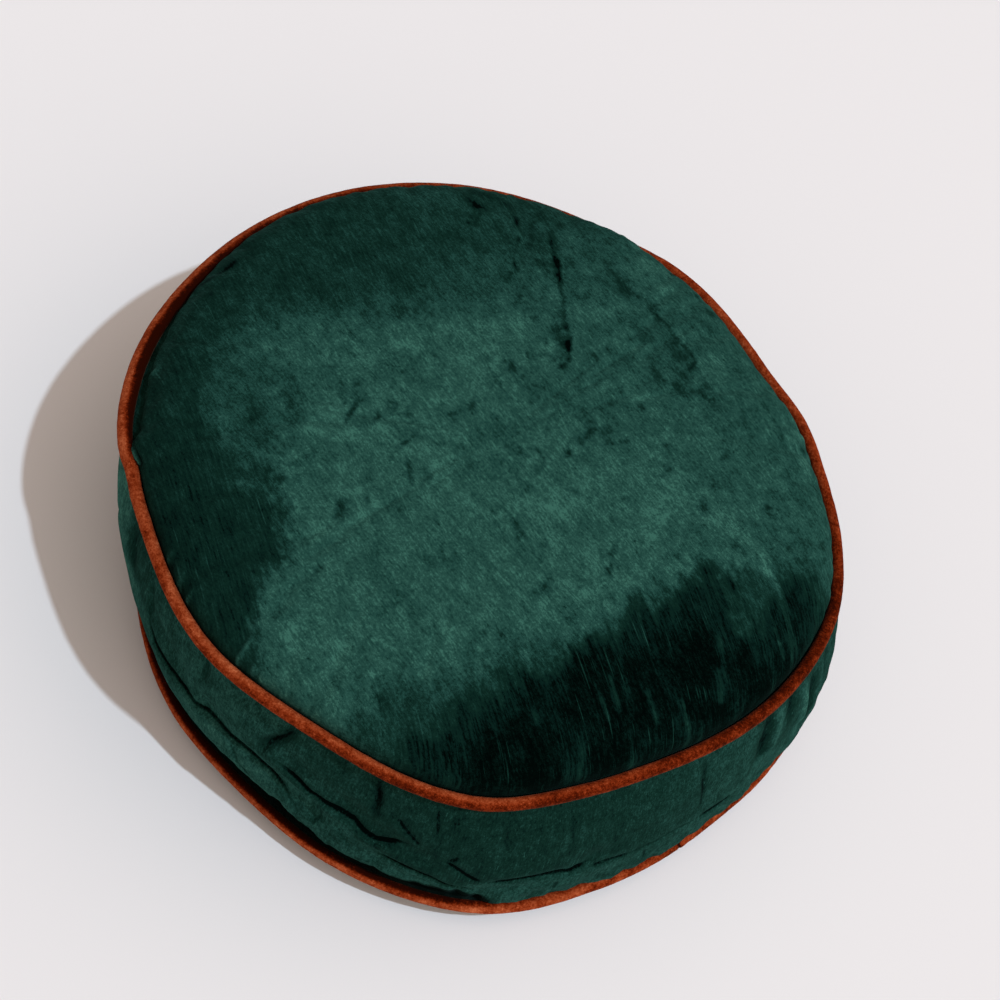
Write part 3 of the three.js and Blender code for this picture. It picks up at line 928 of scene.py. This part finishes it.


# Past the imported solid: how far the band stands out low and high, its hollow's share, and how much painted
# shade darkens the gap above the bottom piping
BAND_LIPS = table(
    "at low high hollow gap",
    (0, 0, 0, 1, 0), (180, 0, 0.3, 1, 0), (194, -2.5, 0.6, 1.2, 0.5), (203, -5.5, 2.4, 1.4, 0.9),
    (209, -6.5, 2.8, 1.5, 1), (215, -7.5, 1.2, 1.5, 1), (224, -7.0, 0, 1.5, 1), (236, -4.8, 0, 1.5, 1),
    (253, -2.6, 0, 1.5, 1), (263, 0, 0, 1.1, 1), (272, 0.6, 0, 0.8, 1), (288, 0, 0, 0.8, 1),
    (291, -0.4, 0, 0.8, 0), (297, -2.2, 0, 1, 0), (304, -1.2, 0, 1, 0), (312, 0, 0, 1, 0),
    (320, 0.8, 0, 1, 0), (341, 1.2, 0.8, 1, 0), (349, 1.0, 0.5, 1, 0),
)
lip_at, hip_at, hollow_share_at, gap_painted_shade_at = curves(BAND_LIPS)

# Lumps at the far right, and a deep notch in the hollow's edge at the front
LUMPS = {"at": -6.0, "half_width": 14.0}
NOTCH = {"at": 288.0, "half_width": 1.1, "height": 10.0, "depth": 8.0}

# A crease's valley, and the cloth that stands up beside it: below it where the distance is negative
CREASE_WIDTH = 1.8
FAR_OFF = 9.0
CREASE_LIPS = table("at half_width share", (-5.0, 4.0, 0.5), (7.0, 6.0, 0.22))


def creases(azimuth, up):
    """The sharp creases: how far they move the band out, the distance to the nearest, and the strength of its
    painted shade line.
    """
    x = azimuth * MM_PER_DEGREE + band_noise("crease bend along", azimuth, up)
    y = up + band_noise("crease bend up", azimuth, up)
    out = 0.0
    distance = np.full(np.shape(x), FAR_OFF)
    crease_shade_strength = np.zeros(np.shape(x))
    for crease in BAND_CREASES:
        away, share, side = distance_to_path(x, y, on_band(crease["path"]))
        if crease["path"][-1][0] < crease["path"][0][0]:
            side = -side
        signed = away * side
        fade = 0.2 + 0.8 * smooth_step(0.0, 0.14, share) * smooth_step(0.0, 0.14, 1.0 - share)
        lips = sum(lip["share"] * bell((signed - lip["at"]) / lip["half_width"]) for lip in CREASE_LIPS)
        out = out + fade * crease["depth"] * (lips - np.exp(-away / CREASE_WIDTH))
        # Painted shade along each crease, strongest in its valley
        dark = fade * crease["line"] * bell(away / (2.0 * CREASE_WIDTH))
        distance = np.where(dark > crease_shade_strength, signed, distance)
        crease_shade_strength = np.maximum(crease_shade_strength, dark)
    return out, distance, crease_shade_strength


def gathers(name, azimuth, up, reach):
    """Small gathers that fade away from a seam, where up is the distance to it."""
    return band_noise(name, azimuth + 0.02 * up, 0.5 * up) * bell(up / reach)


def band_detail(azimuth, share):
    """How far the cloth stands out from the plain band: its slack, gathers, buckles and lumps."""
    up = share * BAND_HEIGHT
    slack = sample_rows(BAND_MOVES, azimuth, share * SIM_BAND_ROWS)
    pleats = gathers("low gathers", azimuth, up, 24.0)
    pleats = pleats + gathers("high gathers", azimuth, BAND_HEIGHT - up, 20.0)
    far_right = bell((np.mod(azimuth + 180.0, 360.0) - 180.0 - LUMPS["at"]) / LUMPS["half_width"])
    lumps = far_right * band_noise("far lumps", azimuth, up + 1.2 * azimuth)
    return slack + pleats + (band_noise("buckles", azimuth, up) + lumps) * np.sin(math.pi * share)


def ragged_hollow(azimuth, share):
    """The hollow above the bottom piping, with a wavy upper edge and a deeper notch at the front."""
    lower = 0.74 * share * (1.0 - band_noise("hollow edge", azimuth, 0.0))
    notch = bell((azimuth - NOTCH["at"]) / NOTCH["half_width"]) * bell(share * BAND_HEIGHT / NOTCH["height"])
    return hollow_share_at(azimuth) * hollow(azimuth, lower) + NOTCH["depth"] * notch


def band_surface(azimuth, share):
    """Radius and height on the boxing band, and its creases' signed distance and painted shade strength."""
    up = share * BAND_HEIGHT
    out, distance, crease_shade_strength = creases(azimuth, up)
    out = out - broad_folds(azimuth, share) - soft_folds(azimuth, up) * np.sin(math.pi * share) ** 0.3
    out = out + band_detail(azimuth, share) - ragged_hollow(azimuth, share)
    out = out + lip_at(azimuth) * bell((up - 15.0) / 15.0) + hip_at(azimuth) * bell((up - 68.0) / 28.0)
    radius = plain_band(azimuth, share) + out
    radius, height = clear_of(radius, BOTTOM_SEAM_HEIGHT + up, bottom_radius(azimuth), BOTTOM_SEAM_HEIGHT)
    radius, height = clear_of(radius, height, top_radius(azimuth), TOP_SEAM_HEIGHT)
    return radius, height, distance, crease_shade_strength


def band_nap_and_painted_light(azimuth, share, crease_shade_strength):
    """How light the band looks: its nap, with painted shade high up, in the creases, in the soft folds and in
    the gap above the bottom piping, and painted light on the cloth below each crease.
    """
    up = share * BAND_HEIGHT
    over_line = up - nap_and_light_line_at(azimuth) + band_noise("nap bend", azimuth, up)
    low_part = 1.0 - smooth_step(-5.0, 5.0, over_line)
    level = high_nap_and_light_at(azimuth) * (1.0 - low_part) + low_nap_and_light_at(azimuth) * low_part
    level = level + band_noise("nap swells", azimuth, up) + band_noise("nap streaks", azimuth, up)
    # Painted shade in the creases and the soft folds' troughs, painted light on the soft folds' ridges
    level = level - CREASE_PAINTED_SHADE * crease_shade_strength - FOLD_PAINTED_SHADE * soft_folds(azimuth, up)
    level = level + strokes(azimuth, up, BAND_STROKES, before=0.0, rise=12.0, fall=12.0)
    # Painted shade in the gap above the bottom piping
    return level - GAP_PAINTED_SHADE * gap_painted_shade_at(azimuth) * (1.0 - smooth_step(8.0, 17.0, up))


def make_band():
    azimuth = band_azimuths()
    low = bottom_radius(azimuth)
    high = top_radius(azimuth)
    shares = np.linspace(SEAM_STEP, BAND_HEIGHT - SEAM_STEP, BAND_ROWS) / BAND_HEIGHT
    rows = [band_surface(azimuth, share) for share in shares]
    rings = [
        place(azimuth, low - tuck_at(azimuth), BOTTOM_SEAM_HEIGHT),
        place(azimuth, low - SEAM_WEDGE, BOTTOM_SEAM_HEIGHT + SEAM_WEDGE),
        *[place(azimuth, radius, height) for radius, height, _, _ in rows],
        place(azimuth, high - SEAM_WEDGE, TOP_SEAM_HEIGHT - SEAM_WEDGE),
        place(azimuth, high - SEAM_DRAW_IN, TOP_SEAM_HEIGHT),
        place(azimuth, high - INNER_FACE_IN, TOP_SEAM_HEIGHT - INNER_FACE_STEP),
        place(azimuth, low - INNER_FACE_IN, BOTTOM_SEAM_HEIGHT + INNER_FACE_STEP),
    ]
    hidden = [np.zeros(len(azimuth))]

    def for_all(values):
        return np.concatenate(hidden * 2 + values + hidden * 4)

    naps = [band_nap_and_painted_light(azimuth, share, row[3]) for share, row in zip(shares, rows)]
    return mesh_piece(
        "boxing_band", rings, closes_on_itself=True, nap=for_all(naps),
        crease_side=for_all([row[2] for row in rows]), crease_depth=for_all([row[3] for row in rows]),
    )


# The bottom panel

# The rings on the floor and inside the cover: points and share of the radius
FLOOR_STEPS = ((1, 0.0), (16, 0.15), (64, 0.4), (160, 0.65), (320, 0.85), (640, 0.97), (640, 1.0))
INSIDE_STEPS = ((320, 0.8), (80, 0.4), (16, 0.1), (1, 0.0))
RIM_ROWS = 20
BOTTOM_NAP = 0.62


def make_bottom_panel():
    rings = flat_rings(lambda a: bottom_radius(a) - LAY_FLAT_IN, 0.0, FLOOR_STEPS)
    azimuth = ring_azimuths(len(rings[-1]))
    for k in range(1, RIM_ROWS + 1):
        radius, height = bottom_rim(azimuth, k / RIM_ROWS)
        rings.append(place(azimuth, *clear_of(radius, height, bottom_radius(azimuth), BOTTOM_SEAM_HEIGHT)))
    rings += flat_rings(lambda a: bottom_radius(a) - tuck_at(a), BOTTOM_SEAM_HEIGHT, INSIDE_STEPS)
    points = np.concatenate(rings)
    nap = BOTTOM_NAP + flat_noise("bottom nap", points[:, 0], points[:, 1])
    return mesh_piece("bottom_panel", rings, nap=nap)


# The pipings

PIPING_COLUMNS = 2000
PIPING_SIDES = 20

# How light each piping looks on its inner and outer side, where the one meets the other, and its blotches. The
# sides' levels hold painted light: a painted highlight along the upper side at the front, painted shade on the
# lower side there, and painted shade on the inner side beside the crown's edge and under the band's overhang
PIPING_NAP_AND_PAINTED_LIGHT = table(
    "at upper lower edge blotches",
    (0, 0.26, 0.30, 0.5, 0.9), (30, 0.50, 0.50, 0.5, 0.8), (100, 0.42, 0.50, 0, 0.7),
    (150, -0.10, 0.60, -0.3, 0.7), (190, -0.25, 0.62, -0.22, 0.8), (202, -0.15, 0.64, -0.35, 0.7),
    (208, 0.50, 0.58, 0.3, 0.7), (225, 0.68, 0.56, 0.4, 0.7), (252, 0.68, 0.40, 0.45, 0.6),
    (280, 0.62, 0.28, 0.45, 0.4), (298, 0.52, 0.24, 0.45, 0.6), (318, 0.42, 0.30, 0.45, 0.9),
    (342, 0.22, 0.28, 0.4, 1.0),
)
LOW_PIPING_NAP_AND_PAINTED_LIGHT = table(
    "at upper lower edge blotches",
    (0, 0.50, 0.50, 0.45, 1.0), (120, 0.50, 0.50, 0.45, 1.0), (195, 0.10, 0.40, 0.5, 1.0),
    (240, -0.15, 0.62, 0.5, 0.9), (272, -0.10, 0.66, 0.45, 0.9), (288, 0.10, 0.66, 0.4, 1.0),
    (294, 0.46, 0.64, 0.3, 1.0), (305, 0.50, 0.54, 0.4, 1.3), (335, 0.46, 0.46, 0.4, 1.3),
)
JOIN_AT = 324.5

# Where the top piping's flange shows as a thicker inner side, and its place round the cord in radians
FLANGE = {"at": 172, "half_width": 32, "out": 4.0, "turn": 2.5, "half_turn": 0.7}


def make_piping(name, radius_at, height, nap_and_light_rows, seed, flange_out=0.0, join=None):
    """A cord in a gathered velvet cover, which follows a seam, with the join in it where one shows."""
    azimuth = ring_azimuths(PIPING_COLUMNS)
    inner_nap_and_light_at, outer_nap_and_light_at, edge_at, blotches_at = curves(nap_and_light_rows)
    wobble = band_noise("piping wobble", azimuth, 0.0, seed)
    flange = flange_out * bell((azimuth - FLANGE["at"]) / FLANGE["half_width"], 4)
    rings = []
    naps = []
    for k in range(PIPING_SIDES):
        turn = 2.0 * math.pi * k / PIPING_SIDES
        lap = 6.0 * k / PIPING_SIDES
        pleats = band_noise("piping creases", azimuth + 0.4 * math.sin(turn), lap, seed)
        blotches = band_noise("piping blotches", azimuth, lap, seed)
        thick = PIPING_RADIUS * (1.0 + 0.05 * pleats)
        # The inner and outer sides carry painted highlight and shade, and the gathers are painted lighter
        # where they bulge and darker in their creases
        inner = 1.0 - smooth_step(-0.35, 0.35, math.cos(turn) - edge_at(azimuth))
        nap = outer_nap_and_light_at(azimuth) * (1.0 - inner) + inner_nap_and_light_at(azimuth) * inner
        nap = nap + 0.28 * blotches_at(azimuth) * blotches + 0.15 * pleats
        if join is not None:
            away = (azimuth - join) * MM_PER_DEGREE
            thick = thick - 1.0 * bell(away / 0.8) + 0.3 * bell((away - 3.0) / 2.5)
            nap = nap - 0.8 * bell(away / 0.7)
        thick = thick + flange * bell((turn - FLANGE["turn"]) / FLANGE["half_turn"])
        radius = radius_at(azimuth) + wobble + thick * math.cos(turn)
        rings.append(place(azimuth, radius, height + thick * math.sin(turn)))
        naps.append(nap)
    return mesh_piece(name, rings, closes_on_itself=True, nap=np.concatenate(naps))


# Materials

RELIEF_DEPTH = 0.0005


class Shade:
    """Short ways to make the nodes of one material."""

    def __init__(self, name):
        self.material = bpy.data.materials.new(name)
        self.material.use_nodes = True
        self.tree = self.material.node_tree
        self.tree.nodes.clear()
        self.spot = self.node("ShaderNodeTexCoord").outputs["Object"]

    def node(self, kind, fed=(), **settings):
        """One node with its settings, and its inputs fed by name or number."""
        made = self.tree.nodes.new(kind)
        for key, value in settings.items():
            setattr(made, key, value)
        for key, value in dict(fed).items():
            self.feed(made.inputs[key], value)
        return made

    def feed(self, socket, value):
        if isinstance(value, bpy.types.NodeSocket):
            self.tree.links.new(value, socket)
        else:
            socket.default_value = value

    def sum(self, operation, a, b=0.0, c=0.0):
        """One math node, fed with numbers or other nodes' outputs."""
        return self.node("ShaderNodeMath", {0: a, 1: b, 2: c}, operation=operation).outputs[0]

    def times(self, a, b):
        return self.sum("MULTIPLY", a, b)

    def add(self, base, amount, value):
        """The base and so many times the value."""
        return self.sum("MULTIPLY_ADD", value, amount, base)

    def swing(self, base, amount, noise):
        """The base, moved up and down by a noise that is 0.5 on average."""
        return self.add(base, amount, self.sum("SUBTRACT", noise, 0.5))

    def noise(self, scale, detail, rough, vector=None):
        spot = self.spot if vector is None else vector
        fed = {"Vector": spot, "Scale": scale, "Detail": detail, "Roughness": rough}
        return self.node("ShaderNodeTexNoise", fed).outputs["Fac"]

    def rise(self, value, low, high):
        """0 below low, 1 above high, and a smooth rise between them."""
        fed = {"Value": value, "From Min": low, "From Max": high}
        return self.node("ShaderNodeMapRange", fed, interpolation_type="SMOOTHSTEP").outputs["Result"]

    def stretched(self, turn, stretch):
        """Places turned about Z, then shortened along each axis by its stretch."""
        fed = {"Vector": self.spot, "Rotation": (0.0, 0.0, math.radians(turn)), "Scale": stretch}
        return self.node("ShaderNodeMapping", fed, vector_type="TEXTURE").outputs[0]

    def value(self, name):
        return self.node("ShaderNodeAttribute", attribute_name=name).outputs["Fac"]

    def colours(self, level, stops):
        made = self.node("ShaderNodeValToRGB", {"Fac": level})
        elements = made.color_ramp.elements
        while len(elements) < len(stops):
            elements.new(0.5)
        for element, (position, colour) in zip(elements, stops):
            element.position = position
            element.color = (*from_hex(colour), 1.0)
        return made.outputs["Color"]

    def finish(self, colour, height, **numbers):
        """Joins the colour and the relief to a principled shader, whose other sockets hold plain numbers."""
        shader = self.node("ShaderNodeBsdfPrincipled", {"Base Color": colour})
        for key, number in numbers.items():
            shader.inputs[key.replace("_", " ")].default_value = number
        relief = self.node("ShaderNodeBump", {"Strength": 0.45, "Distance": RELIEF_DEPTH, "Height": height})
        self.feed(shader.inputs["Normal"], relief.outputs[0])
        self.node("ShaderNodeOutputMaterial", {"Surface": shader.outputs[0]})
        return self.material


def from_hex(text):
    """A linear colour from a web colour."""
    parts = [int(text[k:k + 2], 16) / 255.0 for k in (0, 2, 4)]
    return tuple(p / 12.92 if p <= 0.04045 else ((p + 0.055) / 1.055) ** 2.4 for p in parts)


# Colours by how light the nap looks, with the painted light and shade that the nap levels hold
GREEN_STOPS = [
    (0.00, "010504"), (0.09, "030f0c"), (0.21, "081f1b"), (0.33, "0b241d"), (0.45, "0f2b25"),
    (0.55, "15342d"), (0.62, "193b35"), (0.70, "1e433c"), (0.80, "234840"), (0.90, "2a5249"),
    (1.00, "376559"),
]
RUST_STOPS = [
    (0.00, "260802"), (0.25, "4c1404"), (0.50, "782b10"), (0.75, "984626"), (1.00, "b8643f"),
]


def green_velvet(name, fine_turn, brush_turn, stretch, streaks):
    """Green velvet whose nap levels, painted light and shade included, are broken up by flecks, by lines along
    the pile and by fibres, with a painted shade line under each crease's lip.
    """
    shade = Shade(name)
    # The nap attribute holds painted sheen, highlight and shade as well as the nap's own lightness
    nap = shade.value("nap")
    flecks = shade.noise(560.0, 3.0, 0.65)
    blotches = shade.noise(95.0, 5.0, 0.7)
    lines = shade.noise(1100.0, 2.0, 0.6, shade.stretched(fine_turn, stretch))
    pile = shade.noise(2300.0, 2.0, 0.6)
    lit = shade.rise(nap, 0.08, 0.65)
    swing = 0.0
    for amount, source in ((0.75, flecks), (0.75, blotches), (0.52, lines), (0.7, pile)):
        swing = shade.swing(swing, amount, source)
    level = shade.add(nap, shade.add(0.45, 0.55, lit), swing)
    dark_flecks = shade.rise(shade.noise(170.0, 5.0, 0.75), 0.6, 0.78)
    level = shade.add(level, -0.45, shade.times(dark_flecks, lit))
    strands = shade.noise(800.0, 3.0, 0.65, shade.stretched(brush_turn, stretch))
    crushed = shade.times(shade.add(1.0, -0.65, lit), shade.rise(nap, -0.1, 0.3))
    level = shade.swing(level, crushed, strands)
    long_stretch = tuple(3.0 * part if part > 1.0 else 1.0 for part in stretch)
    brushed = shade.noise(1000.0, 2.0, 0.5, shade.stretched(brush_turn, long_stretch))
    patches = shade.noise(45.0, 3.0, 0.6)
    bright = shade.times(shade.rise(brushed, 0.6, 0.72), shade.rise(patches, 0.46, 0.6))
    level = shade.add(level, streaks, shade.times(bright, shade.add(1.0, -0.7, lit)))
    # A painted shade line just under each crease's overhanging lip
    under_lip = shade.sum("ABSOLUTE", shade.sum("ADD", shade.value("crease_side"), 0.7))
    line = shade.times(shade.rise(under_lip, 1.6, 0.3), shade.value("crease_depth"))
    level = shade.add(level, -0.5, line)
    height = shade.add(shade.add(flecks, 0.4, pile), 0.5, lines)
    return shade.finish(
        shade.colours(level, GREEN_STOPS), height, Roughness=0.9, Specular_IOR_Level=0.0,
        Sheen_Weight=0.03, Sheen_Roughness=0.4, Sheen_Tint=(0.35, 0.8, 0.7, 1.0),
    )


def rust_velvet():
    """Rust velvet in a fine grain, crushed into blotches and specks."""
    shade = Shade("rust velvet")
    blotches = shade.noise(420.0, 3.0, 0.65)
    specks = shade.noise(900.0, 3.0, 0.7)
    pile = shade.noise(2600.0, 2.0, 0.6)
    # The nap attribute holds painted highlight and shade as well as the nap's own lightness
    level = shade.value("nap")
    for amount, source in ((0.8, blotches), (0.8, specks), (0.4, pile)):
        level = shade.swing(level, amount, source)
    level = shade.add(level, 0.2, shade.rise(specks, 0.6, 0.75))
    height = shade.add(shade.add(blotches, 0.4, pile), 0.7, specks)
    return shade.finish(
        shade.colours(level, RUST_STOPS), height, Roughness=0.85, Specular_IOR_Level=0.0,
        Sheen_Weight=0.06, Sheen_Roughness=0.4, Sheen_Tint=(1.0, 0.6, 0.4, 1.0),
    )


# Floor, lights and camera

VIEW_ELEVATION = 54.0
VIEW_ROLL = 22.5
VIEW_DISTANCE = 1543.5
VIEW_FOCAL = 86.4
VIEW_SHIFT = (0.033, 0.0228)
LIGHT_AZIMUTH = -25.0
LIGHT_ELEVATION = 62.4
LIGHT_POWER = 1.80
LIGHT_COLOUR = (0.725, 0.875, 1.0)
LIGHT_SPREAD = 1.6
ROOM_COLOUR = (0.70, 0.592, 0.525, 1.0)
ROOM_SLOPE = 0.85
FLOOR_COLOUR = (0.80, 0.79, 0.80, 1.0)
FLOOR_HALF = 6.0
FLOOR_DROP = 0.0004


def make_floor():
    corners = [(x * FLOOR_HALF, y * FLOOR_HALF, -FLOOR_DROP) for x, y in ((-1, -1), (1, -1), (1, 1), (-1, 1))]
    mesh = bpy.data.meshes.new("floor")
    mesh.from_pydata(corners, [], [(0, 1, 2, 3)])
    floor = bpy.data.objects.new("floor", mesh)
    bpy.context.scene.collection.objects.link(floor)
    material = bpy.data.materials.new("pale floor")
    material.use_nodes = True
    shader = material.node_tree.nodes["Principled BSDF"]
    shader.inputs["Base Color"].default_value = FLOOR_COLOUR
    shader.inputs["Roughness"].default_value = 0.7
    shader.inputs["Specular IOR Level"].default_value = 0.2
    mesh.materials.append(material)


def make_lights():
    """A sun from the right, and a room that is brighter towards it."""
    key = bpy.data.lights.new("key", "SUN")
    key.energy = LIGHT_POWER
    key.color = LIGHT_COLOUR
    key.angle = math.radians(LIGHT_SPREAD)
    azimuth = math.radians(LIGHT_AZIMUTH)
    elevation = math.radians(LIGHT_ELEVATION)
    level_way = Vector((math.cos(azimuth), math.sin(azimuth), 0.0))
    towards = math.cos(elevation) * level_way + math.sin(elevation) * Vector((0.0, 0.0, 1.0))
    lamp = bpy.data.objects.new("key", key)
    lamp.rotation_euler = towards.to_track_quat("Z", "Y").to_euler()
    bpy.context.scene.collection.objects.link(lamp)
    world = bpy.data.worlds.new("studio")
    world.use_nodes = True
    nodes = world.node_tree.nodes
    link = world.node_tree.links.new
    background = nodes["Background"]
    background.inputs["Color"].default_value = ROOM_COLOUR
    towards_key = nodes.new("ShaderNodeVectorMath")
    towards_key.operation = "DOT_PRODUCT"
    towards_key.inputs[1].default_value = level_way
    link(nodes.new("ShaderNodeTexCoord").outputs["Generated"], towards_key.inputs[0])
    slope = nodes.new("ShaderNodeMath")
    slope.operation = "MULTIPLY_ADD"
    slope.inputs[1].default_value = ROOM_SLOPE
    slope.inputs[2].default_value = 1.0
    link(towards_key.outputs["Value"], slope.inputs[0])
    link(slope.outputs[0], background.inputs["Strength"])
    bpy.context.scene.world = world


def make_camera():
    data = bpy.data.cameras.new("view")
    data.lens = VIEW_FOCAL
    data.sensor_width = 36.0
    data.sensor_fit = "HORIZONTAL"
    data.shift_x, data.shift_y = VIEW_SHIFT
    data.clip_end = 50.0
    camera = bpy.data.objects.new("view", data)
    elevation = math.radians(VIEW_ELEVATION)
    roll = math.radians(VIEW_ROLL)
    back = Vector((0.0, -math.cos(elevation), math.sin(elevation)))
    level = Vector((1.0, 0.0, 0.0))
    upright = back.cross(level)
    right = math.cos(roll) * level + math.sin(roll) * upright
    up = -math.sin(roll) * level + math.cos(roll) * upright
    middle = Vector(ORIGIN_SHIFT.tolist()) + Vector((0.0, 0.0, BOTTOM_SEAM_HEIGHT + BAND_HEIGHT / 2.0))
    matrix = Matrix((right, up, back)).transposed().to_4x4()
    matrix.translation = (middle + VIEW_DISTANCE * back) * MM
    camera.matrix_world = matrix
    bpy.context.scene.collection.objects.link(camera)
    bpy.context.scene.camera = camera


def main():
    make_camera()
    make_lights()
    make_floor()
    top_green = green_velvet("green velvet top", -30.0, BRUSH_TURN, (14.0, 1.0, 14.0), 0.42)
    band_green = green_velvet("green velvet band", 0.0, 0.0, (1.0, 1.0, 9.0), 0.5)
    rust = rust_velvet()
    panels = ((make_top_panel(), top_green), (make_band(), band_green), (make_bottom_panel(), top_green))
    for piece, material in panels:
        piece.data.materials.append(material)
        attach(piece, "root")
        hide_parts("cushion_body")
    top = make_piping(
        "top_piping_cover", top_radius, TOP_SEAM_HEIGHT, PIPING_NAP_AND_PAINTED_LIGHT, 600, flange_out=FLANGE["out"])
    bottom = make_piping(
        "bottom_piping_cover", bottom_radius, BOTTOM_SEAM_HEIGHT, LOW_PIPING_NAP_AND_PAINTED_LIGHT, 640, join=JOIN_AT)
    for piece, node in ((top, "top_piping"), (bottom, "bottom_piping")):
        piece.data.materials.append(rust)
        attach(piece, "root")
        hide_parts(node)
    scene = bpy.context.scene
    scene.view_settings.view_transform = "Standard"
    scene.view_settings.look = "None"


main()

bpy.context.view_layer.update()
